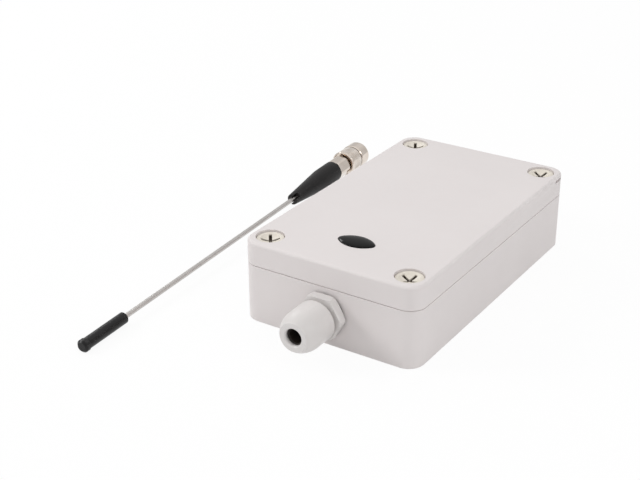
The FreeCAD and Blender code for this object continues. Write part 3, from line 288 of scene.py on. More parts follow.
# Finishes

def empty_finish(name):
    """A material with a Principled surface and nothing else."""
    material = bpy.data.materials.new(name)
    material.use_nodes = True
    tree = material.node_tree
    return material, tree, tree.nodes["Principled BSDF"]


def placed_group(tree, group, **sockets):
    """A shared shader group in a material, with its values."""
    made = tree.nodes.new("ShaderNodeGroup")
    made.node_tree = group
    return feed(tree, made, **sockets).outputs


def worked_finish(name, colour, drifted, rubbed, smooth, rough, grain, relief,
                  drift=40.0, pattern=None, **surface):
    """A finish whose tone drifts between two colours, with fine relief and rubbed edges.

    Colours are levels from 0 to 255, and smooth and rough are the ends of the roughness. grain
    and drift are scales on a metre, and relief is in millimetres. pattern, where given, takes
    the tree and the colour so far and returns the final colour. The rest are plain values of
    the surface.
    """
    material, tree, skin = empty_finish(name)
    skin_grain = placed_group(tree, SURFACE_GRAIN, Grain_Scale=grain, Grain_Height=relief * MM,
                              Drift_Scale=drift)
    tone = skin_grain["Tone"]
    toned = blend_colours(tree, tone, srgb(*colour), srgb(*drifted))
    if pattern:
        toned = pattern(tree, toned)
    edges = placed_group(tree, RUBBED_EDGES)
    toned = blend_colours(tree, edges["Mask"], toned, srgb(*rubbed))
    feed(tree, skin, Base_Color=toned, Normal=skin_grain["Normal"],
         Roughness=spread(tree, tone, 0.0, 1.0, smooth, rough), **surface)
    return material


def enclosure_plastic():
    """Light warm grey moulded plastic of the box."""
    return worked_finish(
        "enclosure plastic", (226, 220, 219), (223, 217, 216), (227, 222, 221),
        smooth=0.46, rough=0.54, grain=2600.0, relief=0.006, drift=22.0, Specular_IOR_Level=0.35)


def gland_plastic():
    """Paler, slightly glossier plastic of the cable gland."""
    return worked_finish(
        "gland plastic", (218, 214, 212), (214, 210, 208), (224, 221, 220),
        smooth=0.34, rough=0.44, grain=3200.0, relief=0.004, drift=60.0, Specular_IOR_Level=0.4)


def painted_cross_shade(tree, colour):
    """Brown painted shade in the cross of a lid screw, darker the deeper it sinks below the dished
    face.
    """
    place = axes_on_piece(tree)
    squares = []
    for axis, middle in (("X", SCREW_MIDDLE.x), ("Y", SCREW_MIDDLE.y)):
        away = shader_math(tree, "ABSOLUTE", place[axis])
        away = shader_math(tree, "SUBTRACT", away, middle * MM)
        squares.append(shader_math(tree, "MULTIPLY", away, away))
    across = shader_math(tree, "ADD", *squares)
    rise = shader_math(tree, "MULTIPLY", across, SCREW_DISH_DEPTH / SCREW_DISH_RADIUS ** 2 / MM)
    face = shader_math(tree, "ADD", rise, (SCREW_HEAD_TOP - SCREW_DISH_DEPTH) * MM)
    sunk = shader_math(tree, "SUBTRACT", face, place["Z"])
    shade = spread(tree, sunk, low=0.25 * MM, high=0.75 * MM)
    beyond = SCREW_CROSS_REACH + 0.15
    inside = spread(tree, across, (SCREW_CROSS_REACH * MM) ** 2, (beyond * MM) ** 2, 1.0, 0.0)
    under = SCREW_CROSS_FLOOR - 0.2
    above = spread(tree, place["Z"], under * MM, SCREW_CROSS_FLOOR * MM)
    # The brown colour is painted shade, strongest deep in the cross and fading out beyond its arms
    share = shader_math(tree, "MULTIPLY", shader_math(tree, "MULTIPLY", shade, inside), above)
    return blend_colours(tree, share, colour, srgb(66, 54, 42))


def screw_plastic():
    """Ivory plastic of the lid screws."""
    # Its pattern paints shade into the cross of each screw head
    return worked_finish(
        "screw plastic", (226, 219, 208), (221, 214, 202), (233, 228, 219),
        smooth=0.36, rough=0.48, grain=3000.0, relief=0.005, drift=90.0, pattern=painted_cross_shade)


def badge_resin():
    """Glossy black domed resin of the bare badge."""
    return worked_finish(
        "badge resin", (7, 6, 7), (11, 10, 11), (26, 25, 26),
        smooth=0.06, rough=0.1, grain=900.0, relief=0.001, drift=160.0, Specular_IOR_Level=0.14)


def sleeve_rubber():
    """Smooth black rubber of the gland's sleeve and the seals."""
    return worked_finish(
        "sleeve rubber", (44, 37, 33), (50, 43, 39), (70, 63, 58),
        smooth=0.22, rough=0.36, grain=1800.0, relief=0.008, drift=120.0)


def boot_rubber():
    """Satin black rubber of the antenna's boot."""
    return worked_finish(
        "boot rubber", (20, 19, 19), (27, 25, 25), (48, 46, 46),
        smooth=0.42, rough=0.56, grain=2200.0, relief=0.012, drift=70.0, Specular_IOR_Level=0.25)


def cap_plastic():
    """Black moulded plastic of the antenna's tip cap."""
    return worked_finish(
        "cap plastic", (13, 12, 13), (18, 17, 18), (48, 47, 48),
        smooth=0.3, rough=0.44, grain=2400.0, relief=0.008, drift=110.0, Specular_IOR_Level=0.3)


def painted_groove_shade(tree, colour):
    """Brownish painted shade in the inner corners of the nickel and in the coupling nut's groove."""
    # Painted shade where the surface bends inwards
    shade = placed_group(tree, SETTLED_SHADE)
    colour = blend_colours(tree, shade["Mask"], colour, srgb(124, 112, 98))
    # A painted dark ring stands for the shade in the coupling nut's groove
    along = placed(tree, "ShaderNodeVectorMath", place_on_piece(tree), ANTENNA_DIRECTION)
    along.operation = "DOT_PRODUCT"
    groove = ANTENNA_START.dot(ANTENNA_DIRECTION) + NUT_GROOVE
    away = away_from(tree, along.outputs["Value"], groove * MM)
    share = spread(tree, away, low=0.3 * MM, high=0.5 * MM, to_low=0.9, to_high=0.0)
    return blend_colours(tree, share, colour, srgb(84, 72, 62))


def plug_nickel():
    """Bright nickel plate of the plug and the socket."""
    # Its pattern paints shade into the inner corners and the coupling nut's groove
    return worked_finish(
        "plug nickel", (224, 213, 203), (214, 202, 190), (242, 236, 230), smooth=0.09, rough=0.17,
        grain=1500.0, relief=0.001, drift=140.0, pattern=painted_groove_shade, Metallic=1.0)


def drawn_steel():
    """Satin drawn steel of the antenna rod."""
    return worked_finish(
        "drawn steel", (194, 190, 187), (185, 181, 178), (206, 203, 200),
        smooth=0.3, rough=0.38, grain=900.0, relief=0.0006, drift=130.0, Metallic=1.0)


def turned_insulator():
    """White turned insulator plastic."""
    return worked_finish(
        "turned insulator", (236, 235, 230), (228, 227, 221), (244, 243, 240),
        smooth=0.4, rough=0.55, grain=2000.0, relief=0.006)


def contact_gold():
    """Thin gold plate of the centre contacts."""
    return worked_finish(
        "contact gold", (232, 196, 120), (218, 178, 98), (244, 220, 160),
        smooth=0.18, rough=0.3, grain=2400.0, relief=0.004, drift=300.0, Metallic=1.0)


def lead_jacket():
    """Brown jacket of the thin screened lead."""
    return worked_finish(
        "lead jacket", (96, 66, 44), (84, 56, 37), (122, 92, 68),
        smooth=0.36, rough=0.5, grain=1500.0, relief=0.008)


def tinned_metal():
    """Dull tinned metal of leads, clips and cans."""
    return worked_finish(
        "tinned metal", (206, 206, 203), (186, 187, 185), (228, 228, 226),
        smooth=0.28, rough=0.46, grain=1700.0, relief=0.01, drift=210.0, Metallic=1.0)


def zinc_plate():
    """Zinc plate of the small screws, between faint blue and faint green."""
    return worked_finish(
        "zinc plate", (204, 205, 208), (190, 193, 188), (230, 230, 232),
        smooth=0.24, rough=0.4, grain=2000.0, relief=0.008, drift=320.0, Metallic=1.0)


def copper_fields(tree, colour):
    """Copper under the green mask, as lighter fields with narrow gaps between them."""
    reaches = []
    for feature in ("F2", "F1"):
        cells = placed(tree, "ShaderNodeTexVoronoi", Vector=place_on_piece(tree), Scale=210.0)
        cells.voronoi_dimensions = "2D"
        cells.distance = "CHEBYCHEV"
        cells.feature = feature
        reaches.append(cells.outputs["Distance"])
    apart = shader_math(tree, "SUBTRACT", *reaches)
    share = spread(tree, apart, low=0.05, high=0.09, to_high=0.7)
    return blend_colours(tree, share, colour, srgb(38, 106, 56))


def board_mask():
    """Green solder mask over copper fields."""
    return worked_finish(
        "board mask", (20, 78, 42), (16, 68, 37), (150, 140, 92), smooth=0.2, rough=0.34,
        grain=1200.0, relief=0.01, drift=90.0, pattern=copper_fields, Coat_Weight=0.3)


def terminal_plastic():
    """Green moulded plastic of the wire terminals."""
    return worked_finish(
        "terminal plastic", (38, 128, 66), (33, 116, 59), (84, 164, 106),
        smooth=0.36, rough=0.48, grain=2300.0, relief=0.006)


def relay_plastic():
    """Blue moulded case of the relay."""
    return worked_finish(
        "relay plastic", (36, 84, 158), (31, 74, 144), (92, 132, 190),
        smooth=0.34, rough=0.46, grain=2300.0, relief=0.006)


def fuse_glass():
    """Clear glass of the fuse's tube, with faint haze from its drawing."""
    material, tree, skin = empty_finish("fuse glass")
    haze = placed_group(tree, SURFACE_GRAIN, Grain_Scale=700.0, Grain_Height=0.004 * MM,
                        Drift_Scale=200.0)
    tone = haze["Tone"]
    feed(tree, skin, Base_Color=blend_colours(tree, tone, srgb(240, 246, 244), srgb(230, 240, 237)),
         Roughness=spread(tree, tone, 0.0, 1.0, to_low=0.02, to_high=0.07),
         Normal=haze["Normal"], Transmission_Weight=1.0, IOR=1.48)
    return material


def varistor_lacquer():
    """Blue dipped lacquer of the varistor."""
    return worked_finish(
        "varistor lacquer", (44, 92, 170), (38, 82, 156), (96, 136, 196),
        smooth=0.2, rough=0.36, grain=500.0, relief=0.06, drift=200.0, Coat_Weight=0.3)


def component_black():
    """Black moulded epoxy of chips and small parts."""
    return worked_finish(
        "component black", (34, 34, 35), (28, 28, 29), (72, 72, 73),
        smooth=0.46, rough=0.62, grain=2600.0, relief=0.012)


def polarity_stripe(tree, colour):
    """The pale stripe down the side of the smoothing capacitor's sleeve."""
    low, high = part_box("smoothing_capacitor")
    radius = (high.x - low.x) / 2
    turned = shader_math(tree, "SUBTRACT", axes_on_piece(tree)["X"], (low.x + high.x) / 2)
    share = spread(tree, turned, low=0.86 * radius, high=0.89 * radius)
    return blend_colours(tree, share, colour, srgb(176, 178, 182))


def capacitor_sleeve():
    """Shrunk black sleeve of the smoothing capacitor."""
    return worked_finish(
        "capacitor sleeve", (24, 27, 34), (20, 22, 28), (60, 62, 70), smooth=0.24, rough=0.38,
        grain=900.0, relief=0.01, pattern=polarity_stripe, Coat_Weight=0.3)


def vent_cross(tree, colour):
    """The scored cross on the smoothing capacitor's bare top."""
    middle = middle_of("smoothing_capacitor") * MM
    place = axes_on_piece(tree)
    score = shader_math(tree, "MINIMUM", away_from(tree, place["X"], middle.x),
                        away_from(tree, place["Y"], middle.y))
    share = spread(tree, score, low=0.18 * MM, high=0.3 * MM, to_low=1.0, to_high=0.0)
    return blend_colours(tree, share, colour, srgb(92, 92, 94))


def can_top():
    """Bare aluminium on top of the smoothing capacitor."""
    return worked_finish(
        "can top", (214, 214, 214), (198, 199, 200), (232, 232, 232), smooth=0.26, rough=0.4,
        grain=1500.0, relief=0.008, drift=260.0, pattern=vent_cross, Metallic=1.0)


def board_ink():
    """White ink of the outlines printed on the main board."""
    return worked_finish(
        "board ink", (226, 226, 218), (208, 210, 200), (236, 236, 230),
        smooth=0.5, rough=0.64, grain=2200.0, relief=0.004, drift=400.0)


def film_box():
    """Red moulded boxes of the film capacitors."""
    return worked_finish(
        "film box", (158, 40, 34), (144, 35, 30), (196, 92, 84),
        smooth=0.34, rough=0.48, grain=2100.0, relief=0.008)


def value_bands(tree, colour):
    """Four coloured bands round each resistor, at places along it in millimetres."""
    bands = {-2.2: srgb(92, 52, 26), -1.1: srgb(24, 22, 22), 0.0: srgb(206, 92, 34),
             1.9: srgb(178, 142, 62)}
    middle = middle_of("resistors").x
    along = axes_on_piece(tree)["X"]
    for place, band in bands.items():
        away = away_from(tree, along, (middle + place) * MM)
        share = spread(tree, away, low=0.28 * MM, high=0.34 * MM, to_low=1.0, to_high=0.0)
        colour = blend_colours(tree, share, colour, band)
    return colour


def resistor_lacquer():
    """Tan lacquer of the resistors, with their value bands."""
    return worked_finish(
        "resistor lacquer", (206, 178, 132), (196, 167, 120), (222, 198, 160),
        smooth=0.28, rough=0.42, grain=900.0, relief=0.014, pattern=value_bands)


def plunger_plastic():
    """Red plastic of the learn button's plunger."""
    return worked_finish(
        "plunger plastic", (186, 36, 30), (172, 31, 26), (218, 98, 90),
        smooth=0.32, rough=0.44, grain=2400.0, relief=0.006)


def light_lens():
    """Red tinted lens of the status light."""
    return worked_finish(
        "light lens", (208, 26, 22), (196, 20, 18), (232, 92, 84),
        smooth=0.1, rough=0.2, grain=900.0, relief=0.006, Transmission_Weight=0.55, IOR=1.5)


FINISHES = {
    "housing_plastic": enclosure_plastic(),
    "gland_plastic": gland_plastic(),
    "screw_plastic": screw_plastic(),
    "badge_black": badge_resin(),
    "seal_rubber": sleeve_rubber(),
    "boot_rubber": boot_rubber(),
    "cap_black": cap_plastic(),
    "nickel": plug_nickel(),
    "rod_steel": drawn_steel(),
    "insulator_white": turned_insulator(),
    "contact_gold": contact_gold(),
    "lead_jacket": lead_jacket(),
    "tinned_metal": tinned_metal(),
    "board_green": board_mask(),
    "zinc_screws": zinc_plate(),
    "terminal_green": terminal_plastic(),
    "relay_blue": relay_plastic(),
    "fuse_glass": fuse_glass(),
    "varistor_blue": varistor_lacquer(),
    "part_black": component_black(),
    "sleeve_black": capacitor_sleeve(),
    "film_red": film_box(),
    "resistor_tan": resistor_lacquer(),
    "plunger_red": plunger_plastic(),
    "light_red": light_lens(),
}
CAN_TOP = can_top()
BOARD_INK = board_ink()


# Shaping

SLOT_OF_NODE = {row["node"]: row["material_slot"] for row in frame["record"]["subparts"]}
BODY_OF_NODE = {
    node: body for body, nodes in frame["record"]["behaviour"]["bodies"].items() for node in nodes
}
CREASE = math.radians(30)
FLAT = math.radians(0.5)
LEVEL_FACING = 0.99
ROUND_ATTEMPTS = 5
ROUND_SEGMENTS = 2

# A crease is rounded in full where its faces reach this many widths beside it
FULL_ROUND_ROOM = 2.5

# What counts as nothing, in metres and square metres
WELD_DISTANCE = 2e-6
NO_REACH = 1e-7
NO_AREA = 1e-12

# A round's facet is folded when it faces away from the form's nearest faces, which are those
# within a slack in metres of the nearest one
FORM_SLACK = 3e-5
FORM_FACING = 0.3


def new_piece(name, mesh):
    """An object at the origin that carries a finished mesh."""
    piece = bpy.data.objects.new(name, mesh)
    bpy.context.scene.collection.objects.link(piece)
    return piece


def is_flat(edge):
    """Whether an edge only divides a flat face."""
    return edge.is_manifold and edge.calc_face_angle() < FLAT


def room_beside(edge, face):
    """How far a face reaches inwards from the middle of one of its edges."""
    loop = next(loop for loop in face.loops if loop.edge == edge)
    start, end = loop.vert.co, loop.link_loop_next.vert.co
    middle = (start + end) / 2
    along = (end - start).normalized()
    inwards = face.normal.cross(along)
    reaches = []
    for other in face.loops:
        near, far = other.vert.co - middle, other.link_loop_next.vert.co - middle
        before, after = near.dot(along), far.dot(along)
        if before * after <= 0 and before != after and not is_flat(other.edge):
            reaches.append(near.lerp(far, before / (before - after)).dot(inwards))
    return min((reach for reach in reaches if reach > NO_REACH), default=math.inf)


def weigh_creases(shape, width):
    """Weight each crease for a round of a width in metres, less beside narrow faces."""
    weights = shape.edges.layers.float.new("bevel_weight_edge")
    for edge in shape.edges:
        if edge.is_manifold and edge.calc_face_angle() >= CREASE:
            room = min(room_beside(edge, face) for face in edge.link_faces)
            if room > width:
                edge[weights] = min(1.0, room / (FULL_ROUND_ROOM * width))


def mesh_from(shape, name):
    """A mesh from a bmesh, with its facets shaded smooth up to the crease angle."""
    for face in shape.faces:
        face.smooth = True
    for edge in shape.edges:
        edge.smooth = not edge.is_manifold or edge.calc_face_angle() < CREASE
    mesh = bpy.data.meshes.new(name)
    shape.to_mesh(mesh)
    shape.free()
    return mesh


def folded_spots(piece, form):
    """Where a piece's live rounds fold over the form that they were put on."""
    rounded = piece.evaluated_get(bpy.context.evaluated_depsgraph_get())
    mesh = rounded.to_mesh()
    spots = []
    for facet in mesh.loop_triangles:
        corners = [mesh.vertices[number].co for number in facet.vertices]
        middle = sum(corners, Vector()) / 3
        if facet.area > NO_AREA:
            gap = form.find_nearest(middle)[3]
            near = form.find_nearest_range(middle, gap + FORM_SLACK)
            if max(row[1].dot(facet.normal) for row in near) < FORM_FACING:
                spots.append((middle, max((corner - middle).length for corner in corners)))
    rounded.to_mesh_clear()
    return spots


def meets_spot(start, end, spots, width):
    """Whether the round along an edge meets one of the folded spots."""
    for middle, reach in spots:
        share = intersect_point_line(middle, start, end)[1]
        nearest = start.lerp(end, min(1.0, max(0.0, share)))
        if (nearest - middle).length < reach + width:
            return True
    return False


def round_creases(piece, width):
    """Rounds of a width in metres along a piece's creases, left out where they would fold."""
    rounds = piece.modifiers.new("rounds", "BEVEL")
    rounds.limit_method = "WEIGHT"
    rounds.width = width
    rounds.segments = ROUND_SEGMENTS
    rounds.use_clamp_overlap = False
    rounds.loop_slide = False
    mesh = piece.data
    form = BVHTree.FromPolygons([corner.co for corner in mesh.vertices],
                                [face.vertices for face in mesh.polygons])
    weights = mesh.attributes["bevel_weight_edge"].data
    for _ in range(ROUND_ATTEMPTS):
        bpy.context.view_layer.update()
        spots = folded_spots(piece, form)
        if not spots:
            break
        for edge in mesh.edges:
            ends = (mesh.vertices[number].co for number in edge.vertices)
            if weights[edge.index].value > 0 and meets_spot(*ends, spots, width):
                weights[edge.index].value = 0.0
        mesh.update_tag()


def even_shading(piece):
    """Shading that keeps flats flat and follows the creases."""
    shading = piece.modifiers.new("shading", "WEIGHTED_NORMAL")
    shading.keep_sharp = True


def rims_of(flat):
    """The rims of a flat, as a number for each corner on them."""
    rims = {}
    for face in flat:
        for edge in face.edges:
            if not is_flat(edge):
                first, second = (rims.setdefault(corner, {corner}) for corner in edge.verts)
                if first is not second:
                    first |= second
                    for corner in second:
                        rims[corner] = first
    return {corner: id(rim) for corner, rim in rims.items()}


def grazes(edge):
    """Whether an edge leaves one of its ends close along another edge."""
    for corner in edge.verts:
        way = edge.other_vert(corner).co - corner.co
        for beside in corner.link_edges:
            if beside is not edge and not is_flat(beside):
                if way.angle(beside.other_vert(corner).co - corner.co) < CREASE:
                    return True
    return False


def join_flats(shape):
    """Join the parts of each flat, leaving bridges that stand steeply between its rims."""
    joinable = {}
    left = set(shape.faces)
    while left:
        flat = [left.pop()]
        inside = set()
        for face in flat:
            for edge in face.edges:
                if is_flat(edge):
                    inside.add(edge)
                    for other in edge.link_faces:
                        if other in left:
                            left.remove(other)
                            flat.append(other)
        rims = rims_of(flat)
        for edge in inside:
            ends = {rims.get(corner) for corner in edge.verts}
            if len(ends) == 1 or grazes(edge):
                joinable[edge] = (len(ends), -edge.calc_length(), edge.index)
    for edge in sorted(joinable, key=joinable.get):
        if edge.is_valid and edge.is_manifold:
            first, second = edge.link_faces
            if len(set(first.verts) & set(second.verts)) == 2:
                bmesh.utils.face_join((first, second))


def joined_copy(node):
    """A bmesh of a CAD node with its loose triangles joined into whole faces."""
    shape = bmesh.new()
    shape.from_mesh(frame["nodes"][node].data)
    bmesh.ops.remove_doubles(shape, verts=shape.verts, dist=WELD_DISTANCE)
    shape.edges.index_update()
    join_flats(shape)
    shape.normal_update()
    return shape


def dress(piece, body, slot, *replaced):
    """Give a piece its finish and body, and hide the nodes that it stands for."""
    if not piece.data.materials:
        piece.data.materials.append(FINISHES[slot])
    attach(piece, body)
    if replaced:
        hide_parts(*replaced)
    return piece


def rounded_piece(node, shape, width, *finishes):
    """A piece in place of a CAD node, with rounds of a width in millimetres on a shape."""
    weigh_creases(shape, width * MM)
    piece = new_piece(node + "_soft", mesh_from(shape, node + "_soft"))
    for finish in finishes:
        piece.data.materials.append(finish)
    round_creases(piece, width * MM)
    even_shading(piece)
    return dress(piece, BODY_OF_NODE[node], SLOT_OF_NODE[node], node)


def softened(node, width):
    """A CAD node's shape with its creases rounded, in place of the node."""
    return rounded_piece(node, joined_copy(node), width)


def soften(**widths):
    """Round the creases of several CAD nodes, each by its width in millimetres."""
    for node, width in widths.items():
        softened(node, width)


def bare_metal(piece, test):
    """Give the faces whose middle passes a test the finish of tinned leads."""
    piece.data.materials.append(FINISHES["tinned_metal"])
    for face in piece.data.polygons:
        if test(face.center / MM):
            face.material_index = 1


def bare_below(piece, height):
    """Bare metal up to a height in millimetres above the main board."""
    bare_metal(piece, lambda place: place.z < BOARD_TOP + height)


def bare_beyond(piece, node, axis, reach):
    """Bare metal past a reach in millimetres from a node's middle, along axis 0 or 1."""
    middle = middle_of(node)[axis]
    bare_metal(piece, lambda place: abs(place[axis] - middle) > reach)


def join_rings(shape, rings):
    """Add the faces between each ring of corners and the next one."""
    for below, above in zip(rings, rings[1:]):
        for i in range(len(below)):
            j = (i + 1) % len(below)
            shape.faces.new((below[i], below[j], above[j], above[i]))


def spun(shape, spot, profile, sides):
    """Add a closed turned form on an upright axis, from radii and heights in millimetres."""
    rings = []
    for radius, height in profile:
        ring = []
        for i in range(sides):
            turn = 2 * math.pi * i / sides
            reach = Vector((spot.x + radius * math.cos(turn), spot.y + radius * math.sin(turn)))
            ring.append(shape.verts.new((reach.x * MM, reach.y * MM, height * MM)))
        rings.append(ring)
    join_rings(shape, rings)
    shape.faces.new(list(reversed(rings[0])))
    shape.faces.new(rings[-1])


def framed(shape, low, high, foot, rise, width):
    """Add a flat rectangular frame, measured in millimetres."""
    loops = []
    for inset, height in ((0.0, foot), (0.0, foot + rise), (width, foot + rise), (width, foot)):
        x0, y0, x1, y1 = low.x + inset, low.y + inset, high.x - inset, high.y - inset
        corners = ((x0, y0), (x1, y0), (x1, y1), (x0, y1))
        loops.append([shape.verts.new((x * MM, y * MM, height * MM)) for x, y in corners])
    join_rings(shape, loops + loops[:1])


def closed_piece(name, shape):
    """A piece from a shape that was built face by face, with its faces turned outwards."""
    bmesh.ops.recalc_face_normals(shape, faces=shape.faces)
    return new_piece(name, mesh_from(shape, name))


# Growing trees

def growing_tree(name, inputs):
    """A geometry tree with named inputs at their usual values, a Finish and one output."""
    kinds = {int: "Int", float: "Float", tuple: "Vector"}
    tree = bpy.data.node_groups.new(name, "GeometryNodeTree")
    for label, value in inputs.items():
        kind = "NodeSocket" + kinds[type(value)]
        socket = tree.interface.new_socket(label, in_out="INPUT", socket_type=kind)
        socket.default_value = value
    tree.interface.new_socket("Finish", in_out="INPUT", socket_type="NodeSocketMaterial")
    tree.interface.new_socket("Geometry", in_out="OUTPUT", socket_type="NodeSocketGeometry")
    return tree, tree.nodes.new("NodeGroupInput").outputs, tree.nodes.new("NodeGroupOutput")


def end_tree(tree, given, result, grown):
    """Realize what a tree has grown and give it its material."""
    real = placed(tree, "GeometryNodeRealizeInstances", Geometry=grown.outputs[0])
    paint = placed(tree, "GeometryNodeSetMaterial", Geometry=real.outputs[0],
                   Material=given["Finish"])
    feed(tree, result, Geometry=paint.outputs[0])
    return tree


def make_grip_tree():
    """Straight ridges side by side round an axis, as on a knurled grip."""
    tree, given, result = growing_tree(
        "grip ridges", {"Ridges": 60, "Radius": 0.007, "Ridge Width": 0.0002, "Length": 0.01})
    ring = placed(tree, "GeometryNodeMeshCircle", Vertices=given["Ridges"], Radius=given["Radius"])
    ridge = placed(tree, "GeometryNodeMeshCylinder", Vertices=4, Radius=given["Ridge Width"],
                   Depth=given["Length"])
    place = tree.nodes.new("GeometryNodeInputPosition").outputs[0]
    turn = placed(tree, "FunctionNodeAlignRotationToVector", Vector=place)
    turn.axis = "X"
    turn.pivot_axis = "Z"
    spots = placed(tree, "GeometryNodeInstanceOnPoints", Points=ring.outputs["Mesh"],
                   Instance=ridge.outputs["Mesh"], Rotation=turn.outputs[0])
    return end_tree(tree, given, result, spots)


def make_thread_tree():
    """A screw thread: a ridge wound along an axis."""
    tree, given, result = growing_tree(
        "wound thread", {"Radius": 0.0022, "Turns": 7.0, "Length": 0.012, "Ridge": 0.0004})
    winding = placed(tree, "GeometryNodeCurveSpiral", Resolution=32, Rotations=given["Turns"],
                     Start_Radius=given["Radius"], End_Radius=given["Radius"],
                     Height=given["Length"])
    ridge = placed(tree, "GeometryNodeCurvePrimitiveCircle", Resolution=4, Radius=given["Ridge"])
    body = placed(tree, "GeometryNodeCurveToMesh", Curve=winding.outputs[0],
                  Profile_Curve=ridge.outputs[0], Fill_Caps=True)
    return end_tree(tree, given, result, body)


def random_value(tree, kind, seed):
    """A Random Value node of one kind, with its own fixed seed."""
    made = placed(tree, "FunctionNodeRandomValue", Seed=seed)
    made.data_type = kind
    return made


def make_scatter_tree():
    """Small blocks on a grid of places, some left out and some turned by a right angle."""
    tree, given, result = growing_tree("small parts", {
        "Columns": 4, "Rows": 3, "Width": 0.008, "Depth": 0.008,
        "Block": (0.0016, 0.0008, 0.0006), "Kept": 0.8})
    grid = placed(tree, "GeometryNodeMeshGrid", Vertices_X=given["Columns"],
                  Vertices_Y=given["Rows"], Size_X=given["Width"], Size_Y=given["Depth"])
    block = placed(tree, "GeometryNodeMeshCube", Size=given["Block"])
    chance = random_value(tree, "BOOLEAN", seed=4)
    feed(tree, chance, Probability=given["Kept"])
    quarter = random_value(tree, "INT", seed=9)
    # This node repeats its sockets' names for each kind, so their numbers pick them out
    quarter.inputs[4].default_value = 0
    quarter.inputs[5].default_value = 1
    turn = shader_math(tree, "MULTIPLY", quarter.outputs[2], math.pi / 2)
    lay = placed(tree, "ShaderNodeCombineXYZ", Z=turn)
    spots = placed(tree, "GeometryNodeInstanceOnPoints", Points=grid.outputs["Mesh"],
                   Selection=chance.outputs[3], Instance=block.outputs["Mesh"],
                   Rotation=lay.outputs[0])
    return end_tree(tree, given, result, spots)


def grown_mesh(name, tree, placement, **values):
    """The plain mesh that a growing tree makes, moved to its place."""
    holder = new_piece(name, bpy.data.meshes.new(name))
    growth = holder.modifiers.new("growth", "NODES")
    growth.node_group = tree
    for item in tree.interface.items_tree:
        if item.in_out == "INPUT":
            growth[item.identifier] = values[item.name.replace(" ", "_").lower()]
    bpy.context.view_layer.update()
    depsgraph = bpy.context.evaluated_depsgraph_get()
    mesh = bpy.data.meshes.new_from_object(holder.evaluated_get(depsgraph))
    bpy.data.objects.remove(holder)
    mesh.transform(placement)
    return mesh


GRIP_TREE = make_grip_tree()
THREAD_TREE = make_thread_tree()
SCATTER_TREE = make_scatter_tree()


# Enclosure

def make_enclosure():
    """The two housing shells and the seal between them."""
    soften(base_housing=0.12, lid_shell=0.12, lid_gasket=0.1)


def badge_outline():
    """Points round an oval of four arcs, anticlockwise from +X, in millimetres."""
    half_long, half_wide = BADGE_LENGTH / 2, BADGE_WIDTH / 2
    end_middle = Vector((half_long - BADGE_END_RADIUS, 0.0))
    side_radius = (half_wide ** 2 + end_middle.x ** 2 - BADGE_END_RADIUS ** 2) / (
        2 * (half_wide - BADGE_END_RADIUS))
    side_middle = Vector((0.0, half_wide - side_radius))
    meeting = end_middle + (end_middle - side_middle).normalized() * BADGE_END_RADIUS
    points = []
    for i in range(BADGE_POINTS):
        angle = 2 * math.pi * i / BADGE_POINTS
        across = Vector((math.cos(angle), math.sin(angle)))
        folded = Vector((abs(across.x), abs(across.y)))
        on_end = folded.y * meeting.x < folded.x * meeting.y
        middle, radius = (end_middle, BADGE_END_RADIUS) if on_end else (side_middle, side_radius)
        along = folded.dot(middle)
        points.append(across * (along + math.sqrt(along ** 2 - middle.length_squared + radius ** 2)))
    return points


def make_badge():
    """The bare oval badge: a low domed lens of black resin on a thin rim."""
    low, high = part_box("lid_badge")
    foot = low.z / MM
    rise = high.z / MM - foot
    levels = [(1.0, 0.0)]
    for i in range(BADGE_STEPS):
        turn = math.pi / 2 * i / BADGE_STEPS
        levels.append((math.cos(turn), BADGE_RIM + (rise - BADGE_RIM) * math.sin(turn)))
    shape = bmesh.new()
    outline = badge_outline()
    rings = []
    for scale, height in levels:
        spots = [(spot.x * scale, spot.y * scale + BADGE_Y, foot + height) for spot in outline]
        rings.append([shape.verts.new(Vector(spot) * MM) for spot in spots])
    crown = shape.verts.new(Vector((0, BADGE_Y, foot + rise)) * MM)
    join_rings(shape, rings)
    for i in range(BADGE_POINTS):
        shape.faces.new((rings[-1][i], rings[-1][(i + 1) % BADGE_POINTS], crown))
    shape.faces.new(list(reversed(rings[0])))
    piece = closed_piece("badge_dome", shape)
    even_shading(piece)
    dress(piece, "lid", "badge_black", "lid_badge")


def waisted_screw(node, axis):
    """A lid screw's shape, drawn in to its core below the shoulder over its thread."""
    shape = joined_copy(node)
    for cut in (SCREW_THREAD_TOP, SCREW_THREAD_TOP + SCREW_SHOULDER):
        everything = list(shape.verts) + list(shape.edges) + list(shape.faces)
        bmesh.ops.bisect_plane(shape, geom=everything, plane_co=(0, 0, cut * MM),
                               plane_no=(0, 0, 1))
    waist = SCREW_CORE_RADIUS / SCREW_THREAD_RADIUS
    for vertex in shape.verts:
        if vertex.co.z < (SCREW_THREAD_TOP + SCREW_SHOULDER / 2) * MM:
            vertex.co.x = axis.x * MM + (vertex.co.x - axis.x * MM) * waist
            vertex.co.y = axis.y * MM + (vertex.co.y - axis.y * MM) * waist
    return shape


def make_lid_screws():
    """The four ivory lid screws: softened heads, waisted shanks and coarse threads."""
    length = SCREW_THREAD_TOP - SCREW_THREAD_BOTTOM
    ridge = SCREW_THREAD_RADIUS - SCREW_CORE_RADIUS
    for corner in ("front_left", "front_right", "rear_left", "rear_right"):
        node = "lid_screw_" + corner
        axis = middle_of(node)
        rounded_piece(node, waisted_screw(node, axis), SCREW_ROUND)
        start = Vector((axis.x, axis.y, SCREW_THREAD_BOTTOM)) * MM
        thread = grown_mesh(
            "thread_" + corner, THREAD_TREE, Matrix.Translation(start),
            radius=SCREW_CORE_RADIUS * MM, turns=length / SCREW_PITCH, length=length * MM,
            ridge=ridge * MM, finish=FINISHES["screw_plastic"],
        )
        dress(new_piece("lid_screw_thread_" + corner, thread), BODY_OF_NODE[node], "screw_plastic")


# Gland and socket

def make_gland():
    """The cable gland: gasket, body, locknut, rubber sleeve and domed cap."""
    soften(gland_gasket=0.1, gland_body=0.2, gland_locknut=0.25, gland_seal=0.18,
           gland_cap_nut=0.2)


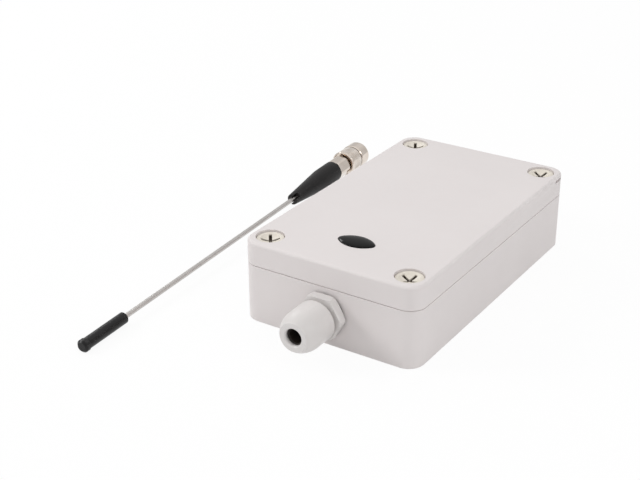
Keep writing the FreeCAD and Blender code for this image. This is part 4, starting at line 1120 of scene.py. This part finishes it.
def make_socket():
    """The antenna socket and the lead behind it."""
    soften(socket_body=0.08, socket_insulator=0.06, socket_contact=0.05, socket_ground_tag=0.05,
           socket_nut=0.15, antenna_lead=0.08, lead_clamp=0.06)


# Antenna

def along_antenna(distance):
    """The placement of a piece built on Z at a distance along the antenna's axis."""
    turn = Vector((0, 0, 1)).rotation_difference(ANTENNA_DIRECTION).to_matrix().to_4x4()
    spot = (ANTENNA_START + ANTENNA_DIRECTION * distance) * MM
    return Matrix.Translation(spot) @ turn


def make_antenna():
    """The whip antenna: plug, knurled collar, boot, rod and tip cap."""
    soften(plug_nut=0.14, plug_body=0.08, plug_gasket=0.1, plug_insulator=0.06, plug_pin=0.03,
           plug_ferrule=0.06, antenna_boot=0.16, antenna_rod=0.08, antenna_tip_cap=0.16)
    grip = grown_mesh(
        "collar_grip", GRIP_TREE, along_antenna((GRIP_START + GRIP_END) / 2),
        ridges=GRIP_RIDGES, radius=GRIP_RADIUS * MM, ridge_width=GRIP_RIDGE_WIDTH * MM,
        length=(GRIP_END - GRIP_START) * MM, finish=FINISHES["nickel"],
    )
    dress(new_piece("collar_grip", grip), "plug_collar", "nickel")


# Board

def lead_places(nodes):
    """Where the leads of parts meet the main board, in millimetres."""
    groups = []
    for node in nodes:
        for vertex in frame["nodes"][node].data.vertices:
            foot = vertex.co / MM
            if abs(foot.z - BOARD_TOP) > LEVEL_SLACK:
                continue
            for group in groups:
                if (group[0] - foot).length < LEAD_SPREAD:
                    group.append(foot)
                    break
            else:
                groups.append([foot])
    places = []
    for group in groups:
        spans = [(min(foot[i] for foot in group), max(foot[i] for foot in group)) for i in (0, 1)]
        places.append(Vector([(low + high) / 2 for low, high in spans]))
    return places


def solder_cone(shape, spot, foot, share):
    """Add a cone of solder at a spot, with its radii drawn in to a share."""
    profile = [(radius * share, foot + rise) for radius, rise in SOLDER_CONE]
    spun(shape, spot, profile, SOLDER_SIDES)


def make_solder():
    """Solder cones round the leads on the main board and on the module's pins."""
    shape = bmesh.new()
    leaded = ("varistor", "bridge_rectifier", "voltage_regulator", "resistors",
              "driver_transistor", "coil_diode")
    for spot in lead_places(leaded):
        solder_cone(shape, spot, BOARD_TOP, LEAD_SHARE)
    middle = middle_of("module_pin_strips").y
    rows = {}
    for vertex in frame["nodes"]["module_pin_strips"].data.vertices:
        foot = vertex.co / MM
        rows.setdefault(foot.y > middle, []).append(foot)
    for feet in rows.values():
        start, end = min(foot.x for foot in feet), max(foot.x for foot in feet)
        across = (min(foot.y for foot in feet) + max(foot.y for foot in feet)) / 2
        for i in range(round((end - start) / LEAD_PITCH)):
            spot = Vector((start + (i + 0.5) * LEAD_PITCH, across))
            solder_cone(shape, spot, MODULE_TOP, PIN_SHARE)
    dress(closed_piece("solder_joints", shape), "base", "tinned_metal")


def make_part_outlines():
    """White outlines printed round the parts on the main board."""
    shape = bmesh.new()
    reach = Vector((OUTLINE_REACH, OUTLINE_REACH, 0.0))
    for node in ("relay", "chip_socket", "button_case", "bridge_rectifier", "voltage_regulator",
                 "varistor", "fuse_clips", "driver_transistor"):
        low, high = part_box(node)
        framed(shape, low / MM - reach, high / MM + reach, BOARD_TOP, OUTLINE_RISE, OUTLINE_WIDTH)
    piece = closed_piece("printed_outlines", shape)
    piece.data.materials.append(BOARD_INK)
    dress(piece, "base", "board_green")


def scatter_parts(field, x, y, z, columns, rows, width, depth, kept):
    """A field of chip parts, as tinned ends with dark bodies over them, in millimetres."""
    forms = (("ends", CHIP_ENDS, "tinned_metal"), ("bodies", CHIP_BODY, "part_black"))
    for form, block, slot in forms:
        name = "small_parts_" + field + "_" + form
        mesh = grown_mesh(
            name, SCATTER_TREE, Matrix.Translation(Vector((x, y, z + block[2] / 2)) * MM),
            columns=columns, rows=rows, width=width * MM, depth=depth * MM,
            block=[side * MM for side in block], kept=kept, finish=FINISHES[slot],
        )
        dress(new_piece(name, mesh), "base", slot)


def make_small_parts():
    """Chip resistors and capacitors in two fields of the main board and on the module."""
    scatter_parts("left", x=-27.5, y=31.0, z=BOARD_TOP, columns=5, rows=5,
                  width=13.0, depth=12.0, kept=0.6)
    scatter_parts("middle", x=-5.0, y=8.2, z=BOARD_TOP, columns=8, rows=2,
                  width=22.0, depth=3.4, kept=0.7)
    scatter_parts("module", x=-3.0, y=34.6, z=MODULE_TOP, columns=3, rows=2,
                  width=6.0, depth=2.6, kept=0.9)


def make_board():
    """The main board, its screws, its terminals, and what is soldered and printed on it."""
    soften(main_board=0.1, board_screws=0.08, supply_terminal=0.12, output_terminal=0.12,
           wire_cages=0.08, terminal_screws=0.06)
    make_solder()
    make_part_outlines()
    make_small_parts()


def make_fuse_wire():
    """The thin wire inside the fuse's tube, sagging a little between its caps."""
    low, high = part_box("fuse_tube")
    middle = middle_of("fuse_tube")
    start, end = low.x / MM - FUSE_WIRE_INTO_CAP, high.x / MM + FUSE_WIRE_INTO_CAP
    shape = bmesh.new()
    rings = []
    for i in range(FUSE_WIRE_STEPS + 1):
        share = i / FUSE_WIRE_STEPS
        centre = Vector((
            start + (end - start) * share,
            middle.y + FUSE_WIRE_SWAY * math.sin(2 * math.pi * share),
            middle.z - FUSE_WIRE_SAG * math.sin(math.pi * share),
        ))
        ring = []
        for j in range(FUSE_WIRE_SIDES):
            turn = 2 * math.pi * j / FUSE_WIRE_SIDES
            out = FUSE_WIRE_RADIUS * Vector((0, math.cos(turn), math.sin(turn)))
            ring.append(shape.verts.new((centre + out) * MM))
        rings.append(ring)
    join_rings(shape, rings)
    for ring in (rings[0], rings[-1]):
        shape.faces.new(ring)
    dress(closed_piece("fuse_wire", shape), "base", "tinned_metal")


def make_capacitor():
    """The smoothing capacitor: a shrunk sleeve lapped over a bare sunken top."""
    node = "smoothing_capacitor"
    shape = joined_copy(node)
    top = max(vertex.co.z for vertex in shape.verts)
    for face in list(shape.faces):
        on_top = abs(face.calc_center_median().z - top) < LEVEL_SLACK * MM
        if on_top and face.normal.z > LEVEL_FACING:
            bmesh.ops.inset_region(shape, faces=[face], thickness=SLEEVE_LAP * MM, depth=0.0)
            bmesh.ops.inset_region(shape, faces=[face], thickness=SLEEVE_LIP * MM,
                                   depth=-SLEEVE_STEP * MM)
            face.material_index = 1
    rounded_piece(node, shape, CAPACITOR_ROUND, FINISHES["sleeve_black"], CAN_TOP)


def make_regulator():
    """The voltage regulator, with bare legs, and a bare tab behind and above its case."""
    regulator = softened("voltage_regulator", 0.1)
    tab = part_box("voltage_regulator")[1].y / MM - REGULATOR_TAB_THICKNESS
    legs, case = BOARD_TOP + REGULATOR_LEGS, BOARD_TOP + REGULATOR_CASE_HEIGHT
    bare_metal(regulator, lambda place: place.z < legs or place.y > tab or place.z > case)


def make_power_parts():
    """The relay, the fuse and the supply's parts."""
    soften(relay=0.25, fuse_tube=0.05, fuse_caps=0.12, fuse_clips=0.08)
    make_fuse_wire()
    bare_below(softened("varistor", 0.5), height=1.9)
    make_capacitor()
    bare_below(softened("bridge_rectifier", 0.15), height=1.9)
    make_regulator()


def make_logic_parts():
    """The controller, the small parts round it, the learn button and the status light."""
    soften(chip_socket=0.08)
    bare_beyond(softened("controller_chip", 0.08), "controller_chip", axis=1, reach=3.25)
    bare_beyond(softened("resistors", 0.1), "resistors", axis=0, reach=3.25)
    soften(film_capacitors=0.1)
    bare_below(softened("driver_transistor", 0.08), height=2.9)
    bare_beyond(softened("coil_diode", 0.08), "coil_diode", axis=0, reach=2.65)
    soften(button_case=0.05, button_plunger=0.12, status_light=0.08)


def make_radio_module():
    """The radio module with its shield can, tuning coil and crystal."""
    soften(module_board=0.06, module_pin_strips=0.1, module_shield=0.06, tuning_coil=0.08,
           module_crystal=0.1)


# Studio

def make_camera():
    """The camera that the photograph was taken with, as fitted to it."""
    data = bpy.data.cameras.new("camera")
    data.sensor_width = SENSOR_WIDTH
    data.lens = CAMERA_LENS
    data.clip_start = 0.01
    data.clip_end = 20.0
    camera = bpy.data.objects.new("camera", data)
    bpy.context.scene.collection.objects.link(camera)
    camera.matrix_world = (
        Matrix.Translation(CAMERA_PLACE * MM)
        @ Matrix.Rotation(math.radians(-CAMERA_YAW), 4, "Z")
        @ Matrix.Rotation(math.radians(90 - CAMERA_PITCH), 4, "X")
        @ Matrix.Rotation(math.radians(CAMERA_ROLL), 4, "Z")
    )
    bpy.context.scene.camera = camera


def seen_rays(tree, mirrored):
    """The rays by which the camera, glass and, in a share, mirrors see the background."""
    rays = tree.nodes.new("ShaderNodeLightPath").outputs
    gloss = shader_math(tree, "MULTIPLY", rays["Is Glossy Ray"], mirrored)
    seen = shader_math(tree, "MAXIMUM", rays["Is Camera Ray"], gloss)
    return shader_math(tree, "MAXIMUM", seen, rays["Is Transmission Ray"])


def make_floor():
    """A plain pale floor that keeps a soft shadow, and is seen mostly as plain white."""
    shape = bmesh.new()
    bmesh.ops.create_grid(shape, x_segments=1, y_segments=1, size=FLOOR_HALF_SIZE * MM)
    mesh = bpy.data.meshes.new("floor")
    shape.to_mesh(mesh)
    shape.free()
    mesh.transform(Matrix.Translation((0, 0, -FLOOR_DROP * MM)))
    floor = new_piece("floor", mesh)
    material, tree, skin = empty_finish("pale floor")
    feed(tree, skin, Base_Color=(FLOOR_GREY, FLOOR_GREY, FLOOR_GREY, 1.0), Roughness=0.9,
         Specular_IOR_Level=0.1)
    white = placed(tree, "ShaderNodeEmission", Color=WHITE, Strength=1.0)
    share = shader_math(tree, "MULTIPLY", seen_rays(tree, mirrored=1.0), FLOOR_WHITE)
    mixed = placed(tree, "ShaderNodeMixShader", share, skin.outputs[0], white.outputs[0])
    feed(tree, tree.nodes["Material Output"], Surface=mixed.outputs[0])
    mesh.materials.append(material)


def make_world():
    """Studio light, bright above and dimmer at the walls, seen as plain white."""
    world = bpy.data.worlds.new("studio")
    bpy.context.scene.world = world
    world.use_nodes = True
    tree = world.node_tree
    sky = tree.nodes.new("ShaderNodeTexCoord").outputs["Generated"]
    height = placed(tree, "ShaderNodeSeparateXYZ", sky).outputs["Z"]
    light = spread(tree, height, WALL_HEIGHT, CEILING_HEIGHT, WALL_LIGHT, CEILING_LIGHT)
    room = feed(tree, tree.nodes["Background"], Color=WHITE, Strength=light)
    seen = placed(tree, "ShaderNodeBackground", Color=WHITE, Strength=1.0)
    mixed = placed(tree, "ShaderNodeMixShader", seen_rays(tree, MIRRORED_WHITE),
                   room.outputs[0], seen.outputs[0])
    feed(tree, tree.nodes["World Output"], Surface=mixed.outputs[0])


def softbox(name, place, aim, width, height, power):
    """A rectangular studio lamp, placed and aimed in metres."""
    data = bpy.data.lights.new(name, "AREA")
    data.shape = "RECTANGLE"
    data.size = width
    data.size_y = height
    data.energy = power
    lamp = bpy.data.objects.new(name, data)
    bpy.context.scene.collection.objects.link(lamp)
    lamp.location = place
    lamp.rotation_euler = (Vector(aim) - Vector(place)).to_track_quat("-Z", "Y").to_euler()


def make_lamps():
    """Soft lamps above, on the left and on the right, and a small one behind for gloss."""
    softbox("overhead", place=(0.0, 0.1, 1.3), aim=(0.0, 0.0, 0.0),
            width=1.4, height=1.4, power=0.5)
    softbox("left", place=(-1.2, -0.7, 0.8), aim=(0.0, 0.0, 0.02),
            width=0.5, height=0.5, power=7.8)
    softbox("rear left", place=(-1.0, 0.45, 0.75), aim=(0.0, -0.05, 0.04),
            width=0.5, height=0.2, power=1.6)
    softbox("right", place=(1.1, -0.3, 0.7), aim=(0.0, 0.0, 0.02),
            width=0.7, height=0.7, power=3.6)


bpy.context.scene.view_settings.view_transform = "Standard"
make_camera()
make_enclosure()
make_badge()
make_lid_screws()
make_gland()
make_socket()
make_antenna()
make_board()
make_power_parts()
make_logic_parts()
make_radio_module()
make_floor()
make_world()
make_lamps()
